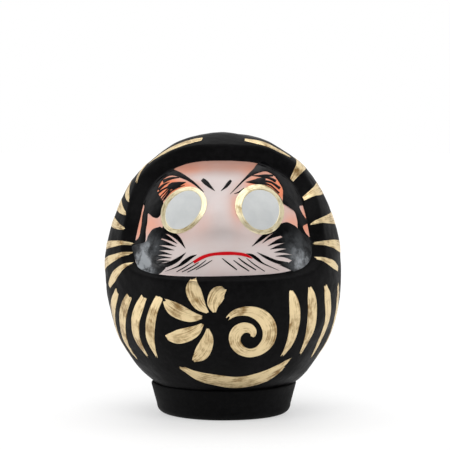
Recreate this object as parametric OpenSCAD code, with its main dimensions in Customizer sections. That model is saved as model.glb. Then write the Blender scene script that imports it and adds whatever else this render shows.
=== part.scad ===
// Daruma doll: a hollow papier-mache shell in two halves, glued over a fired clay foot,
// with its painted features as thin raised films on the shell.
// Millimetres. +Z is up, the doll faces -Y, and the origin is the middle of the foot's underside.

/* [Shell] */
// Width and depth of the egg, which is round in plan
body_d = 105; // [87:1:126]
// Height of the crown above the table
total_h = 125; // [104:1:150]
// Height of the widest line, the shoulders, above the table
shoulder_z = 60; // [50:1:66]
// Squareness of the head's outline, where 2 is an ellipse
head_square = 2.15; // [2:0.05:2.6]
// Thickness of the papier-mache
wall = 2; // [1.4:0.1:3]

/* [Foot] */
// Diameter of the flat rim where the shell is glued to the foot
seat_d = 63; // [52:1:76]
// Height of the foot
foot_h = 14; // [11:0.5:17]
// How far the foot's upper edge stands out past the shell
foot_lip = 0.9; // [0.3:0.1:1.5]
// How much narrower the foot is at the table, on the radius
foot_taper = 2.4; // [0:0.1:4]
// Rounding of the foot's lower edge
foot_edge = 4; // [2:0.1:5]
// Height of the boss that centres the foot in the shell's open end
boss_h = 3; // [1.5:0.5:5]
// Bore for the dipping stick, up through the middle of the foot
stick_d = 12; // [8:0.5:16]

/* [Face window] */
// Width of the window at half height
window_w = 79; // [66:1:80]
// Height of the window's lower edge above the shoulders
window_low = 4.5; // [3:0.5:9]
// Gap from the window's upper edge to the crown, measured down
window_drop = 6.5; // [6:0.5:14]
// Widening of each side of the window for each mm downwards
window_flare = 0.18; // [0:0.01:0.25]
// Depth of the face behind the window's edge, at the top and at the bottom
face_depth_top = 4.6; // [2:0.1:6]
face_depth_low = 2.4; // [1:0.1:4]
// Height of the roll around the window
roll_h = 1.3; // [0.5:0.1:3]
// Height of the nose above the face
nose_h = 4.2; // [2:0.1:6]

/* [Eyes] */
// Distance between the middles of the eyes
eye_gap = 34; // [30:0.5:38]
// Height of the middles of the eyes above the window's lower edge
eye_rise = 29.5; // [26:0.5:32]
// Long width of a white, as it is seen from the front
eye_long = 19; // [16:0.5:21]
// Short width of a white, as it is seen from the front
eye_short = 15.5; // [13:0.5:18]
// Lean of the long width from upright, outwards at the bottom
eye_lean = 40; // [0:1:60]
// Width of the gold rim
rim_w = 2.2; // [1:0.1:2.6]

/* [Paint] */
// Thickness of one raised film of paint
film = 0.3; // [0.2:0.05:0.5]
// Clearance between a film and the facets under it
film_gap = 0.1; // [0.05:0.01:0.2]
// Sideways shift of the brows and the frown, which are painted by eye
brow_shift = -2.4; // [-3:0.1:3]
// Number of gold strokes across the hood on the left
hood_count_left = 7; // [4:1:8]
// Number of gold strokes across the hood on the right
hood_count_right = 5; // [4:1:8]
// Number of gold strokes down the belly on each side
belly_count = 4; // [3:1:4]
// Width of a belly stroke at its widest
belly_stroke_w = 4.4; // [3:0.1:5.2]

/* [Hidden] */

LEFT = -1;
RIGHT = 1;
BLACK = [0.06, 0.06, 0.065];
GLOSS = [0.02, 0.02, 0.02];
GOLD = [0.83, 0.69, 0.42];
SKIN = [0.87, 0.79, 0.77];
PAPER = [0.82, 0.78, 0.68];

// ---- The egg, worked out from its middle on the shoulder line ----
body_r = body_d / 2;
head_h = total_h - shoulder_z;
seat_r = seat_d / 2;
seat_drop = shoulder_z - foot_h;
// The belly is part of an ellipse that passes through the seat's rim.
belly_h = seat_drop / sqrt(1 - pow(seat_r / body_r, 2));

function unit(v) = v / norm(v);
function ease(t) = let (c = max(0, min(1, t))) c * c * (3 - 2 * c);
function hill(t) = exp(-t * t);
function mix(a, b, t) = a + (b - a) * t;

// Distance from the egg's middle to its plain surface along the direction d.
function egg_r(d) =
    let (p = d.z > 0 ? head_square : 2, h = d.z > 0 ? head_h : belly_h)
    pow(pow(norm([d.x, d.y]) / body_r, p) + pow(abs(d.z) / h, p), -1 / p);

// Radius of the egg's level section at height z.
function section_r(z) =
    let (p = z > 0 ? head_square : 2, h = z > 0 ? head_h : belly_h)
    body_r * pow(max(0, 1 - pow(abs(z) / h, p)), 1 / p);

// Direction of the egg's point that is seen at (x, z) from the front.
function front(p) =
    let (r = section_r(p[1]))
    unit([p[0], -sqrt(max(0.01, r * r - p[0] * p[0])), p[1]]);

// Direction of the egg's point at a bearing from the front, positive to the right, and a height.
function around(bearing, z) =
    let (r = section_r(z))
    unit([r * sin(bearing), -r * cos(bearing), z]);

// ---- The window: a rounded trapezium, as seen from the front ----
window_top = head_h - window_drop;
window_z = (window_top + window_low) / 2;
window_h = (window_top - window_low) / 2;
square_top = 2.6;
square_low = 5;

// Point of the window at the angle a round its middle, where q is 0 there and 1 at the edge.
function window(q, a) =
    let (n = sin(a) > 0 ? square_top : square_low,
         k = q * pow(pow(abs(cos(a)), n) + pow(abs(sin(a)), n), -1 / n),
         up = window_h * k * sin(a))
    [(window_w / 2 - window_flare * up) * k * cos(a), window_z + up];

// The q of any point seen from the front.
function window_q(p) =
    let (up = p[1] - window_z,
         n = up > 0 ? square_top : square_low,
         half = max(1, window_w / 2 - window_flare * up))
    pow(pow(abs(p[0]) / half, n) + pow(abs(up) / window_h, n), 1 / n);

// Half width of the window at a height.
function window_half(z) =
    let (up = max(-0.98, min(0.98, (z - window_z) / window_h)), n = up > 0 ? square_top : square_low)
    (window_w / 2 - window_flare * up * window_h) * pow(1 - pow(abs(up), n), 1 / n);

// The drawings are laid out on this doll's size, and stretch with the window, the head or the belly.
face_wide = window_w / 79;
face_tall = (window_top - window_low) / 54;
hood_tall = head_h / 65;
belly_wide = body_r / 52.5;
belly_tall = seat_drop / 46;

// ---- Relief: how far the moulded surface stands off the plain egg ----
edge_q = 0.96; // the foot of the window's wall
roll_q = 1.13;  // the crest of the roll
nose_z = window_low + 0.36 * (window_top - window_low);
eye_x = eye_gap / 2 * face_wide;
eye_z = window_low + eye_rise * face_tall;

function hood_relief(p) =
    let (q = window_q(p))
    roll_h * hill((q - roll_q) / (q < roll_q ? 0.2 : 0.3));

function nose_relief(p) =
    let (up = p[1] - nose_z,
         spread = mix(10, 4.5, ease(up / 18)),
         fall = up > 0 ? 13 : 4.5)
    nose_h * hill(p[0] / spread) * hill(up / fall);

function muzzle_relief(p) = 1.4 * hill(p[0] / 17) * hill((p[1] - window_low - 8) / 7);
function cheek_relief(p) = 1.3 * hill((abs(p[0]) - 27) / 8) * hill((p[1] - window_low - 9) / 8);
function eyeball_relief(p) = 1.2 * hill(norm([abs(p[0]) - eye_x, p[1] - eye_z]) / 8);

function face_relief(p) =
    let (rise = (p[1] - window_low) / (window_top - window_low))
    -mix(face_depth_low, face_depth_top, rise)
    + nose_relief(p) + muzzle_relief(p) + cheek_relief(p) + eyeball_relief(p);

// Relief along a direction: the face inside the window, the roll outside, and nothing at the back.
function relief(d) =
    let (e = egg_r(d) * d, p = [e.x, e.z], q = window_q(p),
         front_share = ease(-e.y / 14))
    d.y >= 0 ? 0 :
    q < edge_q ? face_relief(p) :
    q < 1 ? mix(face_relief(p), front_share * hood_relief(p), (q - edge_q) / (1 - edge_q)) :
    front_share * hood_relief(p);

// Point of the moulded surface along a direction, raised by lift.
function skin(d, lift = 0) = d * (egg_r(d) + relief(d) + lift);

// ---- Closed solids from grids of points ----
// A grid is a list of rows. The rows of a sheet have an upper and a lower copy, and its edges are walled.
// Each cell is cut along its shorter diagonal, and along the same one where the two are alike.
function quads(grid, base, closed, turned) =
    let (cols = len(grid[0]))
    [
        for (i = [0:len(grid) - 2], j = [0:cols - (closed ? 1 : 2)])
            let (k = (j + 1) % cols,
                 a = base + i * cols + j, b = base + i * cols + k,
                 c = a + cols, d = b + cols,
                 swap = norm(grid[i][j] - grid[i + 1][k]) < 0.9 * norm(grid[i][k] - grid[i + 1][j]))
            each swap
                ? (turned ? [[a, d, b], [a, c, d]] : [[a, b, d], [a, d, c]])
                : (turned ? [[a, c, b], [b, c, d]] : [[a, b, c], [b, d, c]])
    ];

function flat(grid) = [for (row = grid) each row];

// A wall between two lines of point numbers.
function strip(upper, lower) = [
    for (i = [0:len(upper) - 2])
        each [[upper[i], lower[i], upper[i + 1]], [upper[i + 1], lower[i], lower[i + 1]]]
];

// A sheet: seen from outside, its columns run to the left of its rows' way. When closed, rows are rings.
module sheet(upper, lower, closed = false) {
    rows = len(upper);
    cols = len(upper[0]);
    n = rows * cols;
    last = n - cols;
    row_a = [for (j = [0:cols - 1]) j];
    row_b = [for (j = [0:cols - 1]) last + j];
    col_a = [for (i = [0:rows - 1]) i * cols];
    col_b = [for (i = [0:rows - 1]) i * cols + cols - 1];
    ring_a = concat(row_a, [row_a[0]]);
    ring_b = concat(row_b, [row_b[0]]);
    under = function (line) [for (k = line) k + n];
    walls = closed
        ? concat(strip(ring_a, under(ring_a)), strip(under(ring_b), ring_b))
        : concat(strip(row_a, under(row_a)), strip(under(row_b), row_b),
                 strip(under(col_a), col_a), strip(col_b, under(col_b)));
    polyhedron(
        points = concat(flat(upper), flat(lower)),
        faces = concat(quads(upper, 0, closed, false), quads(lower, n, closed, true), walls)
    );
}

// A dome: rings round a pole, with an outer and an inner copy, and a rim between their last rings.
module dome(outer_pole, outer, inner_pole, inner, turned = false) {
    rows = len(outer);
    cols = len(outer[0]);
    n = rows * cols;
    pole_a = 2 * n;
    pole_b = pole_a + 1;
    last = n - cols;
    rim = [for (j = [0:cols]) last + j % cols];
    under = [for (k = rim) k + n];
    fan = function (pole, base, way) [
        for (j = [0:cols - 1])
            let (k = (j + 1) % cols)
            way ? [pole, base + k, base + j] : [pole, base + j, base + k]
    ];
    faces = concat(
        quads(outer, 0, true, turned), quads(inner, n, true, !turned),
        fan(pole_a, 0, !turned), fan(pole_b, n, turned),
        turned ? strip(rim, under) : strip(under, rim)
    );
    polyhedron(points = concat(flat(outer), flat(inner), [outer_pole, inner_pole]), faces = faces);
}

// ---- The shell: rings that follow the window's outline and spread to the seam ----
columns = 72;
seam_end = 50; // the ring angle, below level on each side, where the seam meets the seat
face_rings = [0.1, 0.2, 0.3, 0.4, 0.5, 0.6, 0.69, 0.78, 0.86, 0.92, edge_q];
hood_rings = [0, 0.06, 0.14, 0.23, 0.33, 0.44, 0.56, 0.68, 0.8, 0.91];
back_rings = [0.1, 0.22, 0.34, 0.46, 0.58, 0.7, 0.82, 0.92];
back_pole = unit([0, 1, -0.15]);
seat_slope = norm([seat_r / pow(body_r, 2), seat_drop / pow(belly_h, 2)]) * pow(body_r, 2) / seat_r;
ring_angles = [for (j = [0:columns - 1]) j * 360 / columns - seam_end];

function on_seam(a) = a > -seam_end && a < 180 + seam_end;

// Point of the half shell's edge: up the seam and over the crown, and back round the seat.
function edge_point(a, half, lift) =
    let (low = atan2(seat_drop, seat_r),
         seam_a = mix(-low, 180 + low, (a + seam_end) / (180 + 2 * seam_end)),
         along = (a - 180 - seam_end) / (180 - 2 * seam_end),
         seat_a = 180 + half * 180 * max(0, along),
         r = seat_r + lift * seat_slope,
         d = [cos(seam_a), 0, sin(seam_a)])
    on_seam(a) ? d * (egg_r(d) + lift) :
    a <= -seam_end ? [r, 0, -seat_drop] :
    [r * cos(seat_a), r * sin(seat_a), -seat_drop];

// The front half, from the middle of the face out. grow widens the window, for the inner wall.
function front_way(ring, a, grow) =
    ring < len(face_rings)
        ? front(window(face_rings[ring] * (1 + grow), a))
        : unit(mix(front(window(1 + grow, a)), unit(edge_point(a, 1, 0)),
                   hood_rings[ring - len(face_rings)]));

function front_grid(grow, lift) = [
    for (ring = [0:len(face_rings) + len(hood_rings) - 1])
        [for (a = ring_angles)
            let (d = front_way(ring, a, grow))
            d * (egg_r(d) + relief(front_way(ring, a, 0)) + lift)],
    [for (a = ring_angles) edge_point(a, 1, lift)]
];

function back_grid(lift) = [
    for (t = back_rings)
        [for (a = ring_angles)
            let (d = unit(mix(back_pole, unit(edge_point(a, -1, 0)), t)))
            d * (egg_r(d) + lift)],
    [for (a = ring_angles) edge_point(a, -1, lift)]
];

wall_grow = wall / (window_w / 2);
face_pole = front([0, window_z]);

module front_shell() {
    color(BLACK)
        dome(skin(face_pole), front_grid(0, 0),
             skin(face_pole, -wall), front_grid(wall_grow, -wall));
}

module back_shell() {
    color(BLACK)
        dome(back_pole * egg_r(back_pole), back_grid(0),
             back_pole * (egg_r(back_pole) - wall), back_grid(-wall), turned = true);
}

// Paper strip pasted inside, over the joint of the two halves.
strip_w = 10;
strip_t = 0.5;
strip_gap = 0.15;

module seam_strip() {
    half_angle = asin(strip_w / 2 / body_r);
    low = atan2(seat_drop, seat_r) - 6;
    rows = 40;
    at = function (i, g, lift)
        let (s = mix(-low, 180 + low, i / rows), d = [cos(s) * cos(g), sin(g), sin(s) * cos(g)])
        d * (egg_r(d) + lift);
    side = [half_angle, 0, -half_angle];
    upper = [for (i = [0:rows]) [for (g = side) at(i, g, -wall - strip_gap)]];
    lower = [for (i = [0:rows]) [for (g = side) at(i, g, -wall - strip_gap - strip_t)]];
    color(PAPER) sheet(upper, lower);
}

boss_gap = 0.5;

// Fired clay foot and weight in one: a thick turned disc, rounded at the table, with a low boss on top.
module clay_foot() {
    top_r = seat_r + foot_lip;
    low_r = top_r - foot_taper;
    lip_edge = 0.8;
    boss_r = seat_r - wall * seat_slope - boss_gap;
    color(BLACK)
        translate([0, 0, -shoulder_z])
            rotate_extrude($fn = 96)
                polygon(concat(
                    [[stick_d / 2, 0]],
                    [for (a = [-90:15:0]) [low_r - foot_edge + foot_edge * cos(a), foot_edge + foot_edge * sin(a)]],
                    [for (a = [0:30:90]) [top_r - lip_edge + lip_edge * cos(a), foot_h - lip_edge + lip_edge * sin(a)]],
                    [[boss_r, foot_h], [boss_r - 0.6, foot_h + boss_h], [stick_d / 2, foot_h + boss_h]]
                ));
}

// ---- Paint films ----
ground_level = film_gap;
feature_level = film_gap + film;

module face_ground() {
    rings = [for (ring = [0:len(face_rings) - 1]) ring];
    film_at = function (lift) [
        for (ring = rings) [for (a = ring_angles) skin(front_way(ring, a, 0), lift)]
    ];
    color(SKIN)
        dome(skin(face_pole, ground_level + film), film_at(ground_level + film),
             skin(face_pole, ground_level), film_at(ground_level));
}

// Point at a share k of the way from the middle of an eye to its white's edge.
function eye_point(side, k, a) =
    let (u = eye_long / 2 * k * sin(a), v = eye_short / 2 * k * cos(a), lean = side * eye_lean)
    [side * eye_x + face_wide * (v * cos(lean) - u * sin(lean)),
     eye_z + face_tall * (v * sin(lean) + u * cos(lean))];

eye_angles = [for (j = [0:31]) j * 360 / 32];

function eye_rings(side, shares, lift) = [
    for (k = shares) [for (a = eye_angles) skin(front(eye_point(side, k, a)), lift)]
];

module eye_white(side) {
    shares = [0.35, 0.7, 1];
    middle = front([side * eye_x, eye_z]);
    base = feature_level + film_gap;
    color([0.8, 0.82, 0.82])
        dome(skin(middle, base + film), eye_rings(side, shares, base + film),
             skin(middle, base), eye_rings(side, shares, base));
}

module eye_rim(side) {
    shares = [1.005, 1 + rim_w / eye_short, 1 + 2 * rim_w / eye_short];
    base = feature_level + film_gap;
    color(GOLD)
        sheet(eye_rings(side, shares, base + 1.3 * film), eye_rings(side, shares, base), closed = true);
}

// A brush stroke: a Bezier line through the places a, b, c and d, whose half width swells and tapers.
// way turns a place into a direction from the egg's middle.
function bezier(p, t) =
    let (s = 1 - t)
    s * s * s * p[0] + 3 * s * s * t * p[1] + 3 * s * t * t * p[2] + t * t * t * p[3];

function across(p, t) =
    let (v = bezier(p, min(1, t + 0.02)) - bezier(p, max(0, t - 0.02)))
    unit([-v[1], v[0]]);

// Share of the full width at t: blunt is the share kept at the start, and peak is where it is widest.
function swell(t, peak, blunt) =
    t < peak ? mix(blunt, 1, ease(t / peak)) : pow(max(0.06, 1 - pow((t - peak) / (1 - peak), 2)), 0.8);

module stroke(way, p, width, peak = 0.4, blunt = 0.3, rows = 8, base = film_gap) {
    at = function (t, s, lift)
        skin(way(bezier(p, t) + across(p, t) * s * width / 2 * swell(t, peak, blunt)), lift);
    sides = [-1, 0, 1];
    upper = [for (i = [0:rows]) [for (s = sides) at(i / rows, s, base + film)]];
    lower = [for (i = [0:rows]) [for (s = sides) at(i / rows, s, base)]];
    sheet(upper, lower);
}

// Places seen from the front, measured from the middle of the window's lower edge.
function on_face(p) = front([p[0] * face_wide, window_low + p[1] * face_tall]);
// Places seen from the front, measured from the shoulders.
function on_belly(p) = front([p[0] * belly_wide, p[1] * belly_tall]);
// Places on the crown, seen from above.
function on_crown(p) =
    let (r = belly_wide * norm(p))
    unit([p[0] * belly_wide, p[1] * belly_wide,
          head_h * pow(max(0, 1 - pow(r / body_r, head_square)), 1 / head_square)]);

// A way that takes a place on one half, measured outwards, to its side of the doll.
function to_side(side, way, shift = 0) = function (p) way([side * p[0] + shift, p[1]]);

face_base = feature_level + film_gap;

// A mirrored line runs the other way round, so its width is turned over to keep the film's top up.
module side_stroke(side, way, p, width, peak = 0.4, blunt = 0.3, rows = 8, base = face_base) {
    stroke(way, p, side * width, peak, blunt, rows, base);
}

// Brow: one hooked stroke from beside the nose, over the eye and down the side of the face.
brow_line = [[6, 38], [16, 50], [28, 51], [34.5, 28]];

// The shift of the brows fades out towards the side of the face.
function brow_way(side) = function (p)
    on_face([side * p[0] + brow_shift * max(0, 1 - p[0] / 25), p[1]]);

module eyebrow(side) {
    color(GLOSS)
        side_stroke(side, brow_way(side), brow_line, 5, peak = 0.7, blunt = 0.06, rows = 16);
}

// Short hairs that fan out between the brow and the eye.
module brow_hairs(side) {
    hairs = 6;
    way = to_side(side, function (p) on_face(p));
    middle = [eye_gap / 2, eye_rise];
    color(GLOSS)
        for (i = [0:hairs - 1]) {
            a = mix(88, 26, i / (hairs - 1));
            ray = [cos(a), sin(a)];
            bend = [sin(a), -cos(a)];
            root = middle + 13.7 * ray + 1.3 * bend;
            tip = middle + 12.7 * ray - 1.2 * bend;
            side_stroke(side, way, [root, mix(root, tip, 0.3), mix(root, tip, 0.7), tip],
                        1, peak = 0.35, blunt = 0.3, rows = 4);
        }
}

// Beard: a glossy patch in the window's lower corner, and a comb of strokes from it towards the mouth.
beard_teeth = 7;
beard_middle = [12, 13.5];
comb_from = 26;
comb_to = -32;
patch_reach = 18.2;
root_reach = 17.9;
tooth_reach = 10;
end_reach = 4.5;
tooth_w = 2.2;

module beard(side) {
    steps = 14;
    rows = 3;
    way = to_side(side, function (p) on_face(p));
    ray = function (t) let (a = mix(comb_from, comb_to, t)) [cos(a), sin(a)];
    // The outer line keeps just inside the edge of the face's ground.
    outer = function (t)
        let (w = window(0.91, mix(-22, -54, t)))
        [w[0] / face_wide, (w[1] - window_low) / face_tall];
    // The upper edge swells up beside the eye.
    bulge = function (t, s) [0, 4 * sin(180 * s * s * s) * pow(1 - t, 3)];
    at = function (i, j, lift)
        let (t = i / steps, s = j / rows)
        skin(way(mix(beard_middle + patch_reach * ray(t), outer(t), s) + bulge(t, s)), lift);
    order = side > 0 ? [0:1:rows] : [rows:-1:0];
    upper = [for (i = [0:steps]) [for (j = order) at(i, j, face_base + film)]];
    lower = [for (i = [0:steps]) [for (j = order) at(i, j, face_base)]];
    color(GLOSS) {
        sheet(upper, lower);
        for (i = [0:beard_teeth - 1]) {
            // The first and the last stroke are the longest.
            out = ray((i + 0.5) / beard_teeth);
            root = beard_middle + root_reach * out;
            tip = beard_middle + (i % (beard_teeth - 1) == 0 ? end_reach : tooth_reach) * out;
            side_stroke(side, way, [root, mix(root, tip, 0.3), mix(root, tip, 0.7), tip],
                        tooth_w, peak = 0.1, blunt = 0.9, rows = 5);
        }
    }
}

// Fine strokes over the chin, fanning away from the mouth.
module chin_whiskers(side) {
    hairs = 4;
    way = to_side(side, function (p) on_face(p));
    color(GLOSS)
        for (i = [0:hairs - 1]) {
            root = [3.2 + 3.3 * i, 6.6 - 0.5 * i];
            tip = root + [5.4 + 0.5 * i, -3.9 + 0.3 * i];
            side_stroke(side, way, [root, mix(root, tip, 0.35), mix(root, tip, 0.65), tip],
                        0.7, peak = 0.3, blunt = 0.4, rows = 3);
        }
}

module frown_marks() {
    color(GLOSS)
        for (side = [LEFT, RIGHT])
            side_stroke(side, to_side(side, function (p) on_face(p), brow_shift),
                        [[7.2, 43.6], [6.2, 42], [4.4, 39.8], [1.8, 38.4]],
                        1.8, peak = 0.25, blunt = 0.6, rows = 5);
}

module mouth_line() {
    color("crimson")
        stroke(function (p) on_face(p), [[12.4, 9.2], [6, 11.4], [-5, 11.6], [-12.6, 7.2]],
               1.6, peak = 0.75, blunt = 0.25, rows = 12, base = face_base);
}

// Long strokes over the brow of the hood, one on each side of the crown.
module crown_strokes() {
    color(GOLD)
        for (side = [LEFT, RIGHT])
            side_stroke(side, to_side(side, function (p) on_crown(p)),
                        [[9, -18], [16, -18.5], [23, -17], [30.5, -12.5]],
                        5.6, peak = 0.3, blunt = 0.35, rows = 10, base = film_gap);
}

// A gold band over the egg: at(t) is its middle's bearing and height, half(t) its half width in
// bearing and height. The band runs down or outwards.
module band(side, at, half, rows) {
    order = side > 0 ? [-1, 0, 1] : [1, 0, -1];
    point = function (t, s, lift)
        let (p = at(t) + s * half(t))
        skin(around(side * p[0], p[1]), lift);
    sheet([for (k = [0:rows]) [for (s = order) point(k / rows, s, film_gap + film)]],
          [for (k = [0:rows]) [for (s = order) point(k / rows, s, film_gap)]]);
}

// Strokes across the hood, each a wedge from the side of the head to a tip beside the window.
module hood_strokes(side) {
    count = side < 0 ? hood_count_left : hood_count_right;
    outer_bearing = 87;
    edge_share = 1.02;
    color(GOLD)
        for (i = [0:count - 1]) {
            t = i / (count - 1);
            tip_z = mix(window_z + 0.5 * window_h, window_low + 5.5, t);
            outer_z = mix(tip_z + 5, side < 0 ? -2 : 6, t);
            edge = asin(min(0.9, edge_share * window_half(tip_z) / section_r(tip_z)));
            tip_bearing = edge + (side < 0 ? 10 * (1 - t) : 0);
            bow = function (k) [mix(tip_bearing, outer_bearing, k), mix(tip_z, outer_z, ease(k))];
            half = function (k) [0, hood_tall * mix(0.35, 1.8, ease(1.25 * k))];
            band(side, bow, half, 9);
        }
}

// Curved strokes down the belly, like the pleats of a robe.
module belly_strokes(side) {
    first = side < 0 ? 28 : 32;
    pitch = side < 0 ? 10 : 12.5;
    bow = side < 0 ? 8.5 : 7;
    drift = side < 0 ? 10 : 3;
    color(GOLD)
        for (i = [0:belly_count - 1]) {
            at = function (t)
                [first + pitch * i + bow * sin(180 * t) + drift * t, mix(-0.06, -0.7, t) * seat_drop];
            half = function (t)
                [belly_stroke_w / 2 / body_r * 180 / PI * swell(t, 0.45, 0.3), 0];
            band(side, at, half, 9);
        }
}

// A ribbon along a line of places, widest at its middle.
module ribbon(way, line, width, rows, blunt = 0.2) {
    edge = function (t, s)
        let (v = unit(line(min(1, t + 0.02)) - line(max(0, t - 0.02))))
        line(t) + s * width / 2 * mix(blunt, 1, sin(180 * t)) * [-v[1], v[0]];
    sides = [-1, 0, 1];
    sheet([for (k = [0:rows]) [for (s = sides) skin(way(edge(k / rows, s)), film_gap + film)]],
          [for (k = [0:rows]) [for (s = sides) skin(way(edge(k / rows, s)), film_gap)]]);
}

// Brushed ornament on the belly: a rolled cloud, a spray of leaves beside it and a wave below.
cloud_middle = [11, -20.5];
cloud_turns = 1.45;
spray_middle = [-4.5, -13.5];
leaves = 5;

module belly_ornament() {
    way = function (p) on_belly(p);
    cloud = function (t)
        let (a = 150 - 360 * cloud_turns * (1 - t))
        cloud_middle + mix(1.6, 12.3, t) * [cos(a), sin(a)];
    color(GOLD) {
        ribbon(way, cloud, 4.4, 34);
        stroke(way, [[-18, -34], [-5, -43.5], [14, -43], [31, -31.5]], 5, peak = 0.45, blunt = 0.1, rows = 14);
        for (i = [0:leaves - 1]) {
            a = 66 + 45 * i;
            ray = [cos(a), sin(a)];
            bend = 2 * [-sin(a), cos(a)];
            root = spray_middle + 3.5 * ray;
            tip = spray_middle + mix(15.5, 22, ease(i / 2)) * ray;
            stroke(way, [root, mix(root, tip, 0.3) + bend, mix(root, tip, 0.75) + bend, tip],
                   5.4, peak = 0.6, blunt = 0.15, rows = 7);
        }
    }
}

module placed() {
    translate([0, 0, shoulder_z]) children();
}

placed() front_shell();
placed() back_shell();
placed() seam_strip();
placed() clay_foot();
placed() face_ground();
placed() eye_white(LEFT);  // eye_white_left
placed() eye_white(RIGHT);  // eye_white_right
placed() eye_rim(LEFT);  // eye_rim_left
placed() eye_rim(RIGHT);  // eye_rim_right
placed() eyebrow(LEFT);  // eyebrow_left
placed() eyebrow(RIGHT);  // eyebrow_right
placed() brow_hairs(LEFT);  // brow_hairs_left
placed() brow_hairs(RIGHT);  // brow_hairs_right
placed() beard(LEFT);  // beard_left
placed() beard(RIGHT);  // beard_right
placed() chin_whiskers(LEFT);  // chin_whiskers_left
placed() chin_whiskers(RIGHT);  // chin_whiskers_right
placed() frown_marks();
placed() mouth_line();
placed() crown_strokes();
placed() hood_strokes(LEFT);  // hood_strokes_left
placed() hood_strokes(RIGHT);  // hood_strokes_right
placed() belly_strokes(LEFT);  // belly_strokes_left
placed() belly_strokes(RIGHT);  // belly_strokes_right
placed() belly_ornament();
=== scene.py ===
# %% [markdown]
# # A daruma doll in black and gold
#
# A daruma is a hollow egg of papier-mache on a clay foot, which makes it stand up again. It is dipped in
# black paint, the face is sprayed and painted by hand, and gold strokes go on last. This lesson builds
# every coat on one formula: a point of the doll is a direction from its middle and a distance along it.
# A coat of paint is the same formula with a little more distance, so paint follows each bump below it.

import bpy
import numpy as np
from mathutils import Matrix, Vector


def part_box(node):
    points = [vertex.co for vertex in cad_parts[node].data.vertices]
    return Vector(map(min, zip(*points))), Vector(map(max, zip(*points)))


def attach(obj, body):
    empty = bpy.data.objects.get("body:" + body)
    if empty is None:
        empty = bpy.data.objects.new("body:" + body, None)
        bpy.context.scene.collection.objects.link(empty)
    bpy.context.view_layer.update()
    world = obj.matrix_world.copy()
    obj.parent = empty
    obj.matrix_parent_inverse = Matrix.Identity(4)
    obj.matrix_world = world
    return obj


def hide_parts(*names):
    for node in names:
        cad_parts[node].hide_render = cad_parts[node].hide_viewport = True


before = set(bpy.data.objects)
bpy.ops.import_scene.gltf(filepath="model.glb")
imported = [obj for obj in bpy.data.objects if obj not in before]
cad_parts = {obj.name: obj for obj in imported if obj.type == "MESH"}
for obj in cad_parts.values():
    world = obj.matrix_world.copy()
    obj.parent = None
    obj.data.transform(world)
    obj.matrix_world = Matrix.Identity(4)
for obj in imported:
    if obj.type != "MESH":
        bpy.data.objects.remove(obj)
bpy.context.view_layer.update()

# %% [markdown]
# ## Sizes
#
# The drawing is in millimetres with its origin in the egg's middle, where it is widest. The sizes come
# from the frame's boxes where a box shows them, and the rest repeat the part's own drawing.

# %% Sizes of the egg, the window and the foot
MM = 0.001
shell_low, shell_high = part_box("back_shell")
clay_low, clay_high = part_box("clay_foot")
BODY_R = round((shell_high.x - shell_low.x) / MM) / 2
CROWN_Z = round(shell_high.z / MM)
FOOT_R = (clay_high.x - clay_low.x) / MM / 2
SHOULDER_Z = 60.0
FOOT_H = 14.0
SEAT_R = 31.5
WALL = 2.0
HEAD_H = CROWN_Z - SHOULDER_Z
SEAT_DROP = SHOULDER_Z - FOOT_H
BELLY_H = SEAT_DROP / np.sqrt(1 - (SEAT_R / BODY_R) ** 2)
HEAD_SQUARE = 2.15

HOOD_RIM = 6.5
WINDOW_W = 79.0
WINDOW_LOW = 4.5
WINDOW_TOP = HEAD_H - HOOD_RIM
WINDOW_MIDDLE = (WINDOW_TOP + WINDOW_LOW) / 2
WINDOW_HALF = (WINDOW_TOP - WINDOW_LOW) / 2
WINDOW_FLARE = 0.18
SQUARE_TOP = 2.6
SQUARE_LOW = 5.0
print("egg", 2 * BODY_R, "wide and", CROWN_Z, "high; foot radius", round(FOOT_R, 1))
print("window", WINDOW_W, "wide, from", WINDOW_LOW, "to", WINDOW_TOP, "above the shoulders")

# %% Small helpers
def ease(t):
    """0 before 0, 1 after 1, and 3t^2 - 2t^3 between, which starts and ends level."""
    c = np.clip(t, 0, 1)
    return c * c * (3 - 2 * c)


def hill(t):
    """A bell that is 1 at 0 and nearly 0 beyond 2: e to the power of minus t squared."""
    return np.exp(-t * t)


def unit(v):
    """The vectors, each divided by its length."""
    return v / np.linalg.norm(v, axis=-1, keepdims=True)


def spot(x, z, middle, wide, tall):
    """An oval bell round a place on the face: two bells multiplied, one across and one up."""
    return hill((x - middle[0]) / wide) * hill((z - middle[1]) / tall)

# %% [markdown]
# ## The plain egg
#
# Above the shoulders the outline is a slightly squared ellipse, and below them it is part of a true one
# that ends at the foot. Round the upright axis it is a circle. Polar form suits a moulded shell: one
# distance for each direction, and never a fold.

# %% The egg as a distance for each direction
def head_or_belly(z):
    """The power and the half height of the outline's half on that side of the shoulders."""
    above = z > 0
    return np.where(above, HEAD_SQUARE, 2.0), np.where(above, HEAD_H, BELLY_H)


def egg_r(d):
    """Distance r with (r*level/BODY_R)^n + (r*up/H)^n = 1, for the unit vectors d."""
    n, height = head_or_belly(d[..., 2])
    level = np.hypot(d[..., 0], d[..., 1]) / BODY_R
    return (level**n + (np.abs(d[..., 2]) / height) ** n) ** (-1 / n)


def section_r(z):
    """Radius of the level circle at height z, from the same equation."""
    n, height = head_or_belly(z)
    return BODY_R * np.maximum(1e-6, 1 - (np.abs(z) / height) ** n) ** (1 / n)


def front(p):
    """Direction of the egg's point that is seen at (x, z) from the front."""
    x, z = p[..., 0], p[..., 1]
    depth = np.sqrt(np.maximum(0.01, section_r(z) ** 2 - x * x))
    return unit(np.stack([x, -depth, z], -1))


def around(p):
    """Direction of the egg's point at (bearing, z). Bearing 0 is the front, and 90 the right side."""
    bearing, z = np.radians(p[..., 0]), p[..., 1]
    r = section_r(z)
    return unit(np.stack([r * np.sin(bearing), -r * np.cos(bearing), z], -1))


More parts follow.
